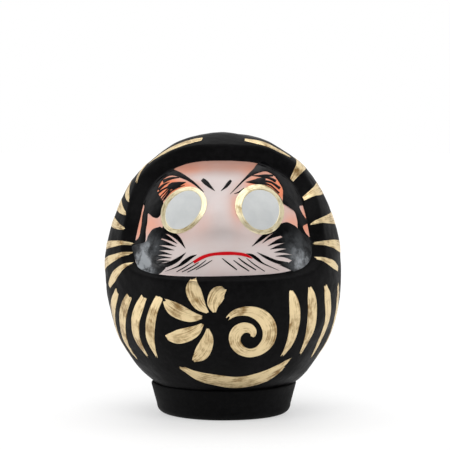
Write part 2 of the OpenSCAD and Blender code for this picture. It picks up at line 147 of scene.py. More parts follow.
def on_crown(p):
    """Direction of the egg's point that is seen at (x, y) from above."""
    level = np.hypot(p[..., 0], p[..., 1]) / BODY_R
    z = HEAD_H * np.maximum(0, 1 - level**HEAD_SQUARE) ** (1 / HEAD_SQUARE)
    return unit(np.stack([p[..., 0], p[..., 1], z], -1))


print("radius at the seat:", round(float(section_r(np.array(-SEAT_DROP))), 2))

# %% [markdown]
# ## The window and the relief
#
# The mould presses a rounded window into the front: a face with a nose, cheeks and round eyes at its
# bottom, and a soft roll round its edge. q measures how far out a place is, from 0 in the window's middle
# to 1 on its edge, so one number says where the face ends and where the roll rises.

# %% The window's outline
def window_half(up):
    """Half width of the window at a height above its middle."""
    return np.maximum(1, WINDOW_W / 2 - WINDOW_FLARE * up)


def window(q, angle):
    """Place at q and an angle: a superellipse (|cos|^n + |sin|^n)^(-1/n), squarer below than above."""
    c, s = np.cos(angle), np.sin(angle)
    n = np.where(s > 0, SQUARE_TOP, SQUARE_LOW)
    k = q * (np.abs(c) ** n + np.abs(s) ** n) ** (-1 / n)
    up = WINDOW_HALF * k * s
    return np.stack([window_half(up) * k * c, WINDOW_MIDDLE + up], -1)


def window_q(x, z):
    """The q of the place (x, z): the superellipse's own left side, to the power 1/n."""
    up = z - WINDOW_MIDDLE
    n = np.where(up > 0, SQUARE_TOP, SQUARE_LOW)
    return ((np.abs(x) / window_half(up)) ** n + (np.abs(up) / WINDOW_HALF) ** n) ** (1 / n)


window_edge = window(1.0, np.radians([90.0, 0.0]))
print("window's top at", np.round(window_edge[0], 1), "and its side at", np.round(window_edge[1], 1))

# %% The moulded face
FACE_DEPTH = 2.4
FACE_LEAN = 2.2
NOSE_Z = WINDOW_LOW + 0.36 * (WINDOW_TOP - WINDOW_LOW)
NOSE_H = 5.0
MUZZLE_H = 1.4
CHEEK_H = 1.3
EYE_X = 17.0
EYE_Z = WINDOW_LOW + 29.5
EYEBALL_H = 1.2


def face_relief(x, z):
    """Depth of the face's plate, plus one oval bell each for nose, muzzle, cheeks and eyeballs."""
    side = np.abs(x)
    rise = (z - WINDOW_LOW) / (WINDOW_TOP - WINDOW_LOW)
    plate = -(FACE_DEPTH + FACE_LEAN * rise)
    over_nose = z - NOSE_Z
    nose_wide = 10.5 - 6 * ease(over_nose / 18)
    nose = NOSE_H * hill(x / nose_wide) * hill(over_nose / np.where(over_nose > 0, 13, 4.0))
    muzzle = MUZZLE_H * spot(x, z, (0, WINDOW_LOW + 8), 17, 7)
    cheeks = CHEEK_H * spot(side, z, (27, WINDOW_LOW + 9), 8, 8)
    eyes = EYEBALL_H * spot(side, z, (EYE_X, EYE_Z), 8, 8)
    return plate + nose + muzzle + cheeks + eyes


# %% The wall of the window and the roll round it
WALL_FOOT_Q = 0.955
WALL_TOP_Q = 1.045
ROLL_Q = 1.13
ROLL_H = 1.5
ROLL_IN = 0.2
ROLL_OUT = 0.3
ROLL_FADE = 14


def relief(d):
    """Face inside the window, roll outside, an eased wall between, and nothing on the back."""
    e = d * egg_r(d)[..., None]
    q = window_q(e[..., 0], e[..., 2])
    roll_wide = np.where(q < ROLL_Q, ROLL_IN, ROLL_OUT)
    roll = ROLL_H * hill((q - ROLL_Q) / roll_wide) * ease(-e[..., 1] / ROLL_FADE)
    face = face_relief(e[..., 0], e[..., 2])
    out = ease((q - WALL_FOOT_Q) / (WALL_TOP_Q - WALL_FOOT_Q))
    return np.where(d[..., 1] < 0, face + (roll - face) * out, 0.0)


nose_way = front(np.array([0.0, NOSE_Z]))
print("relief at the nose's tip, mm:", round(float(relief(nose_way)), 2))

# %% [markdown]
# ## The hand in the paper
#
# Layers of torn paper dry into shallow dents a finger wide, with a fine tooth on them. A sum of flat
# waves in random directions gives that swell everywhere at once: it has no seam and no pole, and a fixed
# seed gives the same doll each time. The two half shells also leave a faint ridge down each side.

# %% Dents, tooth and side ridge
def plane_waves(seed, count, shortest, longest):
    """Random waves through space: one row of wave vector for each, and its phase."""
    rng = np.random.default_rng(seed)
    ways = unit(rng.normal(size=(count, 3)))
    lengths = rng.uniform(shortest, longest, (count, 1))
    return ways * 2 * np.pi / lengths, rng.uniform(0, 2 * np.pi, count)


def swell(points, waves):
    """The mean of the cosines of all the waves at each point, scaled to a spread of about 1."""
    vectors, phases = waves
    return np.cos(points @ vectors.T + phases).sum(-1) / np.sqrt(len(phases) / 2)


DENTS = plane_waves(3, 22, 13, 34)
TOOTH = plane_waves(5, 30, 3.2, 7.5)
DENT_H = 0.2
TOOTH_H = 0.035
FACE_SHARE = 0.35
RIDGE_H = 0.1
RIDGE_MORE = 0.25
RIDGE_WIDE = 1.3


def paper_relief(d):
    """Dents and tooth, a third as deep in the smoother face, and a ridge that grows towards the foot."""
    e = d * egg_r(d)[..., None]
    q = window_q(e[..., 0], e[..., 2])
    share = np.where(d[..., 1] < 0, FACE_SHARE + (1 - FACE_SHARE) * ease((q - 0.9) / 0.25), 1.0)
    dents = DENT_H * swell(e, DENTS) + TOOTH_H * swell(e, TOOTH)
    low = ease((-e[..., 2] - 5) / 30)
    ridge = (RIDGE_H + RIDGE_MORE * low) * hill(e[..., 1] / RIDGE_WIDE)
    return share * dents + ridge


def skin(d, lift=0.0):
    """Point of the doll along d: egg, relief, paper and lift added as one distance."""
    return d * (egg_r(d) + relief(d) + paper_relief(d) + lift)[..., None]


print("crown of the paper, mm above the table:", np.round(skin(np.array([0.0, 0.0, 1.0]))[2] + SHOULDER_Z, 2))

# %% [markdown]
# ## From grids to meshes
#
# Each surface is a grid of points: rows one way, columns the other. Four neighbours make a face. A solid
# is a plain tuple of its points, its four-cornered faces, its three-cornered faces and a brush
# coordinate that runs along the stroke, which the gold's streaks follow. The faces are turned the right
# way by the volume's sign, which is positive only when they all point out.

# %% Faces of a grid, and solids from grids
NO_TRIS = np.zeros((0, 3), int)


def grid_faces(rows, cols, first=0, closed=False):
    """Corner numbers of each cell: this column and the next, on this row and the next."""
    row, col = np.meshgrid(np.arange(rows - 1), np.arange(cols if closed else cols - 1), indexing="ij")
    this = first + row * cols
    beside = (col + 1) % cols
    return np.stack([this + col, this + beside, this + cols + beside, this + cols + col], -1).reshape(-1, 4)


def wall_faces(line, offset):
    """Cells between a line of point numbers and the same line in the second copy."""
    return np.stack([line[:-1], line[:-1] + offset, line[1:] + offset, line[1:]], -1)


def volume(points, faces):
    """Six times the volume is the sum, over triangles, of one corner dotted with the others' product."""
    fans = [faces[:, [0, k, k + 1]] for k in range(1, faces.shape[1] - 1)]
    corners = points[np.concatenate(fans)]
    return np.einsum("ij,ij->", corners[:, 0], np.cross(corners[:, 1], corners[:, 2])) / 6


def outward(points, quads, tris, brush):
    """The solid with every face turned over if its volume came out negative."""
    total = volume(points, quads) + (volume(points, tris) if len(tris) else 0)
    if total < 0:
        quads, tris = quads[:, ::-1], tris[:, ::-1]
    return points, quads, tris, brush


print("a grid of 3 rows and 4 columns:", len(grid_faces(3, 4)), "faces")
print("the same, closed on itself:", len(grid_faces(3, 4, closed=True)), "faces")

# %% A film of paint, and a bowl with thickness
def film(upper, lower, brush, closed=False):
    """A thin solid: an upper and a lower grid, with a wall round their edges or round both rings."""
    rows, cols = upper.shape[:2]
    n = rows * cols
    number = np.arange(n).reshape(rows, cols)
    under = grid_faces(rows, cols, n, closed)[:, ::-1]
    if closed:
        first = np.append(number[0], number[0, 0])
        last = np.append(number[-1], number[-1, 0])
        walls = [wall_faces(first[::-1], n), wall_faces(last, n)]
    else:
        loop = np.concatenate([number[0, ::-1], number[1:, 0], number[-1, 1:], number[-2:0:-1, -1]])
        loop = np.append(loop, loop[0])
        walls = [wall_faces(loop, n)]
    quads = np.concatenate([grid_faces(rows, cols, 0, closed), under, *walls])
    points = np.concatenate([upper.reshape(-1, 3), lower.reshape(-1, 3)])
    flat = np.tile(brush.reshape(-1, 3), (2, 1))
    return outward(points, quads, NO_TRIS, flat)


def dome(outer_pole, outer, inner_pole, inner):
    """A bowl with thickness: rings round a pole, outside and inside, and a rim between their last rings."""
    cols = outer.shape[1]
    n, m = outer.shape[0] * cols, inner.shape[0] * cols
    points = np.concatenate([outer.reshape(-1, 3), inner.reshape(-1, 3), outer_pole[None], inner_pole[None]])
    col = np.arange(cols)
    beside = (col + 1) % cols
    rim_a, rim_b = n - cols + col, n - cols + beside
    rim = np.stack([rim_a, rim_b, rim_b + m, rim_a + m], -1)
    quads = np.concatenate([
        grid_faces(outer.shape[0], cols, 0, True),
        grid_faces(inner.shape[0], cols, n, True)[:, ::-1],
        rim[:, ::-1],
    ])
    tris = np.concatenate([
        np.stack([np.full(cols, n + m), beside, col], -1),
        np.stack([np.full(cols, n + m + 1), n + col, n + beside], -1),
    ])
    return outward(points, quads, tris, np.zeros_like(points))


# %% One mesh object from one or more solids
def joined(solids):
    """The solids as one: their points in a row, and their faces' numbers moved on to match."""
    starts = np.cumsum([0] + [len(s[0]) for s in solids[:-1]])
    points = np.concatenate([s[0] for s in solids])
    quads = np.concatenate([s[1] + k for s, k in zip(solids, starts)])
    tris = np.concatenate([s[2] + k for s, k in zip(solids, starts)])
    return points, quads, tris, np.concatenate([s[3] for s in solids])


def make(name, solids, nodes, material, crease=0.7):
    points, quads, tris, brush = joined(solids)
    place = (points + [0, 0, SHOULDER_Z]) * MM
    mesh = bpy.data.meshes.new(name)
    loops = np.concatenate([quads.reshape(-1), tris.reshape(-1)])
    starts = np.concatenate([np.arange(len(quads)) * 4, len(quads) * 4 + np.arange(len(tris)) * 3])
    mesh.vertices.add(len(place))
    mesh.vertices.foreach_set("co", place.astype(np.float32).reshape(-1))
    mesh.loops.add(len(loops))
    mesh.loops.foreach_set("vertex_index", loops.astype(np.int32))
    mesh.polygons.add(len(starts))
    mesh.polygons.foreach_set("loop_start", starts.astype(np.int32))
    mesh.polygons.foreach_set("use_smooth", np.ones(len(starts), bool))
    mesh.update(calc_edges=True)
    mesh.set_sharp_from_angle(angle=crease)
    layer = mesh.attributes.new("brush", "FLOAT_VECTOR", "POINT")
    layer.data.foreach_set("vector", brush.astype(np.float32).reshape(-1))
    mesh.materials.append(material)
    piece = bpy.data.objects.new(name, mesh)
    bpy.context.scene.collection.objects.link(piece)
    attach(piece, "root")
    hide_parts(*nodes)
    print(f"{name}: {len(quads) * 2 + len(tris)} triangles, {volume(points, quads):.0f} mm3 or so")
    return piece


def keep(piece, name, values):
    """One number for each point of the piece, kept as an attribute that its material reads."""
    layer = piece.data.attributes.new(name, "FLOAT", "POINT")
    layer.data.foreach_set("value", values.astype(np.float32))
    print(f"{piece.name}: {name} from {values.min():.2f} to {values.max():.2f}")


# %% [markdown]
# ## Materials
#
# Every finish is a Principled shader whose colour, roughness and bump vary by noise on Object
# coordinates, in metres, so the pattern stays on the doll when it is turned. Colours that are the same
# all over stay on the shader's own sockets, where an exporter finds them.

# %% Node helpers
def new_material(name, color, roughness, metallic=0.0, specular=0.5):
    """A material with its constants on the shader's own sockets."""
    material = bpy.data.materials.new(name)
    material.use_nodes = True
    shader = material.node_tree.nodes["Principled BSDF"]
    shader.inputs["Base Color"].default_value = (*color, 1)
    shader.inputs["Roughness"].default_value = roughness
    shader.inputs["Metallic"].default_value = metallic
    shader.inputs["Specular IOR Level"].default_value = specular
    return material, shader


def add(material, kind, settings=(), **inputs):
    """One more node: its settings, then its inputs, each a link or a constant."""
    node = material.node_tree.nodes.new(kind)
    for key, value in dict(settings).items():
        setattr(node, key, value)
    for key, value in inputs.items():
        socket = node.inputs[key.replace("_", " ")]
        if isinstance(value, bpy.types.NodeSocket):
            material.node_tree.links.new(value, socket)
        else:
            socket.default_value = value
    return node


def noise(material, where, scale, detail=3.0, roughness=0.55):
    """Noise between 0 and 1 at a scale in cells to the metre."""
    node = add(material, "ShaderNodeTexNoise", Vector=where, Scale=scale, Detail=detail, Roughness=roughness)
    return node.outputs["Fac"]


def object_place(material):
    """The Object coordinates of the piece, in metres."""
    return material.node_tree.nodes.new("ShaderNodeTexCoord").outputs["Object"]


def attribute(material, name, output):
    """A value kept on the piece's own points."""
    return add(material, "ShaderNodeAttribute", {"attribute_name": name}).outputs[output]


def between(material, factor, low, high, start=0.35, end=0.65):
    """A number that goes from low to high as the factor goes from start to end."""
    node = add(material, "ShaderNodeMapRange", Value=factor)
    for key, value in (("From Min", start), ("From Max", end), ("To Min", low), ("To Max", high)):
        node.inputs[key].default_value = value
    return node.outputs["Result"]


def ramp(material, factor, stops):
    """Colours along a factor: a list of (position, (r, g, b))."""
    node = add(material, "ShaderNodeValToRGB", Fac=factor)
    elements = node.color_ramp.elements
    while len(elements) < len(stops):
        elements.new(0.5)
    for element, (position, color) in zip(elements, stops):
        element.position = position
        element.color = (*color, 1)
    return node.outputs["Color"]


# %% Links, products and bumps
def bump(material, shader, height, distance, strength=1.0, under=None):
    """Bump by a height from 0 to 1, which stands for that many metres, over another bump if given."""
    node = add(material, "ShaderNodeBump", Height=height, Distance=distance, Strength=strength)
    if under is not None:
        material.node_tree.links.new(under, node.inputs["Normal"])
    material.node_tree.links.new(node.outputs["Normal"], shader.inputs["Normal"])
    return node.outputs["Normal"]


def link(material, output, socket):
    """A link between two sockets of the material."""
    material.node_tree.links.new(output, socket)


def times(material, one, other):
    """The product of two numbers that vary over the surface."""
    node = add(material, "ShaderNodeMath", {"operation": "MULTIPLY"})
    link(material, one, node.inputs[0])
    link(material, other, node.inputs[1])
    return node.outputs[0]


# %% [markdown]
# The black is glue paint that the whole doll is dipped in. It dries matte, with duller and shinier
# patches and the paper's fibres showing through. A painted image would need an unwrapped surface; noise
# through space needs none, and meets itself at no seam.

# %% Black dipping paint, on paper and on clay
def black_paint(name, color, roughness, grain):
    """Matte black that is shinier in broad patches, with brushed paper grain in its bump."""
    material, shader = new_material(name, color, roughness, specular=0.05)
    where = object_place(material)
    long_way = add(material, "ShaderNodeVectorMath", {"operation": "MULTIPLY"})
    link(material, where, long_way.inputs[0])
    long_way.inputs[1].default_value = (1.0, 1.0, 3.5)
    patches = noise(material, long_way.outputs["Vector"], 30, 5, 0.65)
    dust = noise(material, where, 420, 3, 0.6)
    link(material, between(material, patches, roughness - 0.08, roughness + 0.1), shader.inputs["Roughness"])
    lighter = tuple(2.8 * c for c in color)
    stops = [(0.2, color), (0.5, lighter)]
    link(material, ramp(material, times(material, patches, dust), stops), shader.inputs["Base Color"])
    fibres = noise(material, where, 260, 4, 0.65)
    broad = bump(material, shader, fibres, grain)
    bump(material, shader, dust, grain * 0.3, under=broad)
    return material


BLACK_PAPER = black_paint("black_paper", (0.0028, 0.0027, 0.0029), 0.5, 0.00022)
BLACK_CLAY = black_paint("black_clay", (0.0026, 0.0026, 0.0028), 0.6, 0.00016)

# %% Pasted paper, for the strip inside
def strip_material():
    """Bare kraft paper: long flecks of two browns, and a fibrous bump."""
    material, shader = new_material("strip_paper", (0.62, 0.55, 0.42), 0.85)
    where = object_place(material)
    flecks = noise(material, where, 300, 5, 0.7)
    stops = [(0.3, (0.5, 0.43, 0.31)), (0.6, (0.68, 0.61, 0.48))]
    link(material, ramp(material, flecks, stops), shader.inputs["Base Color"])
    bump(material, shader, flecks, 0.0003)
    return material


STRIP_PAPER = strip_material()

# %% [markdown]
# The face is pale paint with salmon airbrushed over it, and painted shade darkens it under the hood and
# the nose. Its soft patches belong to places on the face, which noise cannot know, so the amount of salmon
# and of shade is worked out for each point and the material only turns those numbers into a colour.

# %% Skin paint with airbrushed salmon and painted shade
def skin_material():
    """Pale paint: salmon by the piece's blush attribute, broken by noise, and darkened by painted shade from
    its other attribute.
    """
    material, shader = new_material("skin_paint", (0.7, 0.62, 0.6), 0.5, specular=0.35)
    where = object_place(material)
    cloud = noise(material, where, 110, 4, 0.6)
    blush = attribute(material, "blush", "Fac")
    uneven = add(material, "ShaderNodeMath", {"operation": "MULTIPLY_ADD"})
    link(material, cloud, uneven.inputs[0])
    uneven.inputs[1].default_value = 0.16
    link(material, blush, uneven.inputs[2])
    stops = [
        (0.06, (0.74, 0.67, 0.655)), (0.35, (0.72, 0.52, 0.47)),
        (0.62, (0.82, 0.4, 0.29)), (0.95, (0.85, 0.25, 0.12)),
    ]
    tint = ramp(material, uneven.outputs[0], stops)
    # Painted shade: this attribute darkens the colour under the hood and the nose.
    painted_shade_factor = attribute(material, "painted_shade_factor", "Fac")
    dimmed = add(material, "ShaderNodeVectorMath", {"operation": "SCALE"}, Scale=painted_shade_factor)
    link(material, tint, dimmed.inputs[0])
    link(material, dimmed.outputs["Vector"], shader.inputs["Base Color"])
    link(material, between(material, cloud, 0.42, 0.58), shader.inputs["Roughness"])
    bump(material, shader, noise(material, where, 520, 3), 0.00008)
    return material


def eye_material():
    """Flat grey-white paint with faint brush marks."""
    material, shader = new_material("eye_paint", (0.6, 0.62, 0.62), 0.55, specular=0.3)
    where = object_place(material)
    marks = noise(material, where, 160, 5, 0.6)
    stops = [(0.35, (0.585, 0.605, 0.605)), (0.65, (0.65, 0.665, 0.66))]
    link(material, ramp(material, marks, stops), shader.inputs["Base Color"])
    bump(material, shader, marks, 0.0001)
    return material


SKIN_PAINT = skin_material()
EYE_PAINT = eye_material()

# %% [markdown]
# The gold is bronze powder in a binder, put on with a flat brush. What tells it from yellow is its
# reflections and its streaks, so it is a metal, and its noise is stretched along each stroke by a brush
# coordinate that the stroke's own surface carries.

# %% Gold brushed on in streaks
def gold_material(name, light, dark, roughness):
    """Metal powder paint: streaks along the brush coordinate set colour, roughness and bump."""
    material, shader = new_material(name, light, roughness, metallic=1.0)
    brush = attribute(material, "brush", "Vector")
    where = object_place(material)
    streak = noise(material, brush, 1.0, 5, 0.65)
    flake = noise(material, where, 900, 2, 0.5)
    patch = noise(material, where, 150, 3, 0.6)
    worn = times(material, streak, patch)
    stops = [(0.145, dark), (0.26, light), (0.6, tuple(min(1, 1.12 * c) for c in light))]
    link(material, ramp(material, worn, stops), shader.inputs["Base Color"])
    link(material, between(material, streak, roughness + 0.12, roughness - 0.06), shader.inputs["Roughness"])
    first = bump(material, shader, streak, 0.00025)
    bump(material, shader, flake, 0.00006, under=first)
    return material


GOLD = gold_material("gold_paint", (0.79, 0.63, 0.37), (0.28, 0.17, 0.065), 0.36)
RIM_GOLD = gold_material("rim_gold", (0.86, 0.77, 0.53), (0.45, 0.34, 0.16), 0.42)

# %% [markdown]
# Brows, beard and mouth are lacquer, which is smooth enough to shine but never flat. Two bumps do that:
# slow swells where it pooled, and the ripples of the brush. Low in the beard's outer corners a grey sheen is
# painted into the colour, a painted reflection, which is an amount kept on its points, as the salmon is.

# %% Thick lacquers
def lacquer(name, color, roughness):
    """Dipped gloss: low roughness, and slow swells and brush ripples in the bump."""
    material, shader = new_material(name, color, roughness, specular=0.1)
    where = object_place(material)
    slow = noise(material, where, 110, 2, 0.5)
    ripples = noise(material, where, 620, 3, 0.6)
    link(material, between(material, slow, roughness - 0.04, roughness + 0.12), shader.inputs["Roughness"])
    first = bump(material, shader, slow, 0.0009)
    bump(material, shader, ripples, 0.00005, under=first)
    return material


def lacquer_with_painted_sheen():
    """The same black with a grey painted sheen low in the beard's corners, a painted reflection kept as an
    attribute of the piece.
    """
    material = lacquer("lacquer_with_painted_sheen", (0.0025, 0.0025, 0.003), 0.2)
    shader = material.node_tree.nodes["Principled BSDF"]
    where = object_place(material)
    cloud = noise(material, where, 150, 4, 0.65)
    # Painted reflection: this attribute mixes a grey sheen into the black.
    painted_sheen = attribute(material, "painted_sheen", "Fac")
    broken = times(material, between(material, cloud, 0.25, 1.3, 0.35, 0.6), painted_sheen)
    stops = [(0.05, (0.0025, 0.0025, 0.003)), (0.45, (0.06, 0.064, 0.068)), (1.0, (0.34, 0.36, 0.38))]
    link(material, ramp(material, broken, stops), shader.inputs["Base Color"])
    return material


PAINTED_SHEEN_LACQUER = lacquer_with_painted_sheen()
BLACK_LACQUER = lacquer("black_lacquer", (0.0025, 0.0025, 0.003), 0.16)
RED_LACQUER = lacquer("red_lacquer", (0.62, 0.006, 0.012), 0.3)
print("materials:", [m.name for m in bpy.data.materials])

# %% [markdown]
# ## The two half shells
#
# The real egg is moulded in halves and glued along a line over the crown. On each half the grid runs in
# rings: round the window's middle they first copy the window's own outline, so its crisp edge lies
# along a ring, and then they spread to the seam. The back's rings spread from one pole.

# %% The rings' angles, and the edge that both halves share
COLUMNS = 360
SEAM_END = np.radians(50)
RING_ANGLES = np.arange(COLUMNS) * 2 * np.pi / COLUMNS - SEAM_END
SEAT_ANGLE = np.arctan2(SEAT_DROP, SEAT_R)


def edge_directions(half):
    """Up the seam and over the crown at an even rate, then back round the seat, to the front or back."""
    share = (RING_ANGLES + SEAM_END) / (np.pi + 2 * SEAM_END)
    seam = -SEAT_ANGLE + share * (np.pi + 2 * SEAT_ANGLE)
    along = np.clip((RING_ANGLES - np.pi - SEAM_END) / (np.pi - 2 * SEAM_END), 0, 1)
    seat = np.pi + half * np.pi * along
    over = np.stack([np.cos(seam), 0 * seam, np.sin(seam)], -1)
    back = np.stack([SEAT_R * np.cos(seat), SEAT_R * np.sin(seat), 0 * seat - SEAT_DROP], -1)
    return np.where((share <= 1)[:, None], over, unit(back))


def spread(inner, outer, shares):
    """Rings of directions on the way from one ring to another: the mix of both, made a unit again."""
    return unit(inner[None] + (outer - inner)[None] * shares[:, None, None])


# %% The front half
WINDOW_Q = np.concatenate([np.linspace(0.02, 0.93, 62), np.linspace(0.94, 1.0, 13)])
FACE_POLE = front(np.array([0, WINDOW_MIDDLE]))


def window_rings(shares):
    """Rings of directions inside the window, one for each q."""
    return front(window(shares[:, None], RING_ANGLES[None]))


def clear_of_seat(points):
    """Points at the seat, drawn in to the foot's joint so that no paper hangs below it."""
    low = -SEAT_DROP
    points[..., 2] = np.maximum(points[..., 2], low)
    return points


edge_ring = window_rings(np.array([1.0]))[0]
hood_shares = np.linspace(0, 1, 84)[1:]
front_ways = np.concatenate([window_rings(WINDOW_Q), spread(edge_ring, edge_directions(1), hood_shares)])
EVERY_FIFTH = slice(4, None, 5)
inner_ways = front_ways[EVERY_FIFTH]
front_shell = dome(
    skin(FACE_POLE), clear_of_seat(skin(front_ways)),
    skin(FACE_POLE, -WALL), clear_of_seat(skin(inner_ways, -WALL)),
)
make("front_shell_paper", [front_shell], ["front_shell"], BLACK_PAPER, crease=1.0)

# %% The back half
BACK_POLE = unit(np.array([0, 1, -0.15]))
back_ways = spread(np.tile(BACK_POLE, (COLUMNS, 1)), edge_directions(-1), np.linspace(0, 1, 91)[1:])
back_shell = dome(
    skin(BACK_POLE), clear_of_seat(skin(back_ways)),
    skin(BACK_POLE, -WALL), clear_of_seat(skin(back_ways[EVERY_FIFTH], -WALL)),
)
make("back_shell_paper", [back_shell], ["back_shell"], BLACK_PAPER, crease=1.0)

# %% [markdown]
# ## The foot and the strip inside
#
# The foot is thrown clay, so it is a profile carried round the axis: flat below, a rounded lower edge, a
# slightly tapered side and a lip past the shell. A little wobble in the radius keeps it from looking
# machined. The pasted strip stays as the frame has it, because it is sealed inside.

# %% The foot: a turned profile with a stick hole
def turned(profile, cols, wobble):
    """Rings round the axis, one for each profile point; the radius sways by the wobble's waves."""
    angle = np.arange(cols) * 2 * np.pi / cols
    r, z = profile[:, 0, None], profile[:, 1, None]
    ring = np.stack([r * np.cos(angle), r * np.sin(angle), z + 0 * angle], -1)
    sway = 1 + wobble * swell(ring, plane_waves(11, 10, 18, 60)) / np.maximum(r, 1)
    return ring * np.stack([sway, sway, np.ones_like(sway)], -1)


def arc(middle, radius, start, end, count):
    """Points of a circle's arc, in degrees."""
    angle = np.radians(np.linspace(start, end, count))
    return np.stack([middle[0] + radius * np.cos(angle), middle[1] + radius * np.sin(angle)], -1)


STICK_R = 6.0
BOSS_H = 3.0
FOOT_EDGE = 4.0
FOOT_LIP_EDGE = 0.8
FOOT_LOW_R = FOOT_R - 2.4
BOSS_R = 28.7
low_edge = arc((FOOT_LOW_R - FOOT_EDGE, FOOT_EDGE), FOOT_EDGE, -90, 0, 14)
top_edge = arc((FOOT_R - FOOT_LIP_EDGE, FOOT_H - FOOT_LIP_EDGE), FOOT_LIP_EDGE, 0, 90, 8)
side = np.linspace(low_edge[-1], top_edge[0], 12)[1:-1]
under = np.linspace([STICK_R + 0.6, 0], low_edge[0], 8)[1:-1]
hole = [[STICK_R, FOOT_H + BOSS_H], [STICK_R, 0.6], [STICK_R + 0.6, 0]]
boss = [[BOSS_R, FOOT_H], [BOSS_R - 0.6, FOOT_H + BOSS_H]]
foot_profile = np.concatenate([hole, under, low_edge, side, top_edge, boss])
foot_rings = turned(np.concatenate([foot_profile, foot_profile[:1]]), 240, 0.14)[:-1]
foot_rings[..., 2] -= SHOULDER_Z
rows, cols = foot_rings.shape[:2]
foot_faces = grid_faces(rows + 1, cols, 0, True) % (rows * cols)
foot_points = foot_rings.reshape(-1, 3)
foot = outward(foot_points, foot_faces, NO_TRIS, np.zeros_like(foot_points))
make("clay_foot_turned", [foot], ["clay_foot"], BLACK_CLAY, crease=0.6)

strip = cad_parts["seam_strip"]
strip.data.materials.clear()
strip.data.materials.append(STRIP_PAPER)

# %% [markdown]
# ## The face's ground coat
#
# The sprayed skin covers the window from the middle to part way up its wall. Its grid has the shell's own
# rings, so the two never cut through each other. The salmon is airbrushed: soft spots added together and
# kept on the points as an attribute, which the material reads. Painted shade under the hood and the nose
# is kept the same way, in a second attribute that darkens the colour.

# %% Ground coat, blush and painted shade
GROUND_LIFT = 0.12
GROUND_SINK = 0.25
GROUND_SHARES = np.concatenate([np.linspace(0.02, 0.96, 64), np.linspace(0.968, 1.0, 7)])


def ground_end(angle):
    """The q where the skin paint stops: the wall's foot, and some way up the wall at the lower left."""
    low = ease((-np.sin(angle) - 0.5) / 0.3)
    return 0.96 + low * (0.004 - 0.034 * np.cos(angle))


def flat_place(points):
    """The (x, z) that a point had on the plain egg, which is where the drawing's places are given."""
    d = unit(points)
    e = d * egg_r(d)[..., None]
    return e[..., 0], e[..., 2] - WINDOW_LOW


def blush(points):
    """Amount of salmon, with painted shade for the hood's shadow across the top of the forehead: a bell for
    each pass of the airbrush, by side and height above the window's edge.
    """
    x, z = flat_place(points)
    side = np.abs(x)
    # Across the top of the forehead the salmon also stands for the hood's shadow: painted shade as well as
    # paint.
    forehead_salmon_and_shade = 0.46 * ease((z - 44.5) / 6) + 0.24 * spot(side, z, (15, 48), 7, 3)
    brow = 1.1 * spot(side, z, (26, 40), 8, 6.5) + 0.6 * spot(side, z, (16, 41.4), 6, 2.2)
    brow += 0.45 * spot(x, z, (15, 44), 5, 2.6)
    temple = 0.52 * spot(side, z, (32.5, 23), 8, 8)
    strip = 0.33 * ease((side - 34.5) / 3) * ease((38 - z) / 6) * ease((z - 6) / 6)
    beside_eye = 0.5 * spot(x, z, (6.5, 31), 4, 9) + 0.22 * spot(x, z, (-8, 24), 5, 8)
    under_eye = 0.2 * spot(side, z, (20, 18.5), 9, 4)
    chin = 0.02 + 0.05 * ease((14 - z) / 10)
    return np.clip(forehead_salmon_and_shade + brow + temple + strip + beside_eye + under_eye + chin, 0, 1)


def painted_shade_factor(points):
    """Share of the colour that painted shade leaves: less under the hood and the nose, where they cast
    shadow.
    """
    x, z = flat_place(points)
    hood = 0.42 * ease((z - 43) / 8)
    nose = 0.2 * spot(x, z, (-1, 18.5), 10, 3) + 0.1 * spot(x, z, (-2, 25), 4, 5)
    return 1 - hood - nose


ground_ways = front(window(GROUND_SHARES[:, None] * ground_end(RING_ANGLES), RING_ANGLES[None]))
ground = dome(
    skin(FACE_POLE, GROUND_LIFT), skin(ground_ways, GROUND_LIFT),
    skin(FACE_POLE, -GROUND_SINK), skin(ground_ways, -GROUND_SINK),
)
face = make("face_skin", [ground], ["face_ground"], SKIN_PAINT, crease=1.2)
keep(face, "blush", blush(ground[0]))
# Painted shade, kept as the share of the colour left under the hood and the nose.
keep(face, "painted_shade_factor", painted_shade_factor(ground[0]))

# %% [markdown]
# ## Brush strokes
#
# Every painted feature is one of two surfaces. A stroke has a middle line and a width for each of its
# places; a patch is stretched between two lines. Both are laid on the doll by a way, which turns flat
# places into directions, and both stand a little proud and sink a little under the skin, so they are
# closed solids. The line goes smoothly through its places.

# %% A smooth line, a patch and a stroke
def smooth_line(places, t):
    """Catmull-Rom curve: a cubic between each two places, whose slope copies the line of its neighbours."""
    p = np.asarray(places, float)
    p = np.concatenate([2 * p[:1] - p[1:2], p, 2 * p[-1:] - p[-2:-1]])
    s = np.clip(t, 0, 1) * (len(p) - 3)
    k = np.minimum(s.astype(int), len(p) - 4)
    f = (s - k)[..., None]
    a, b, c, d = p[k], p[k + 1], p[k + 2], p[k + 3]
    return 0.5 * (2 * b + (c - a) * f + (2 * a - 5 * b + 4 * c - d) * f**2 + (3 * b - a - 3 * c + d) * f**3)


bow = smooth_line([(0, 0), (1, 1), (2, 0)], np.array([0.25, 0.5]))
print("a line through three places, a quarter and half way:", bow.round(2).tolist())

# %% Paint laid on the doll, and a patch between two lines
SINK = 0.3


def laid(way, places, height, base, round_edge, brush, closed=False):
    """Places laid on the doll: the upper copy at base plus height, thinned at the edges, and a sunk copy."""
    d = way(places)
    upper = skin(d, base + height * round_edge)
    return film(upper, skin(d, base - SINK), brush, closed)


def across(cols):
    """Columns from -1 to 1, crowded at both edges, and the film's thickness there, rounded at the edges."""
    s = np.sin(np.linspace(-np.pi / 2, np.pi / 2, cols))
    return s, np.sqrt(np.maximum(0, 1 - np.abs(s) ** 5))


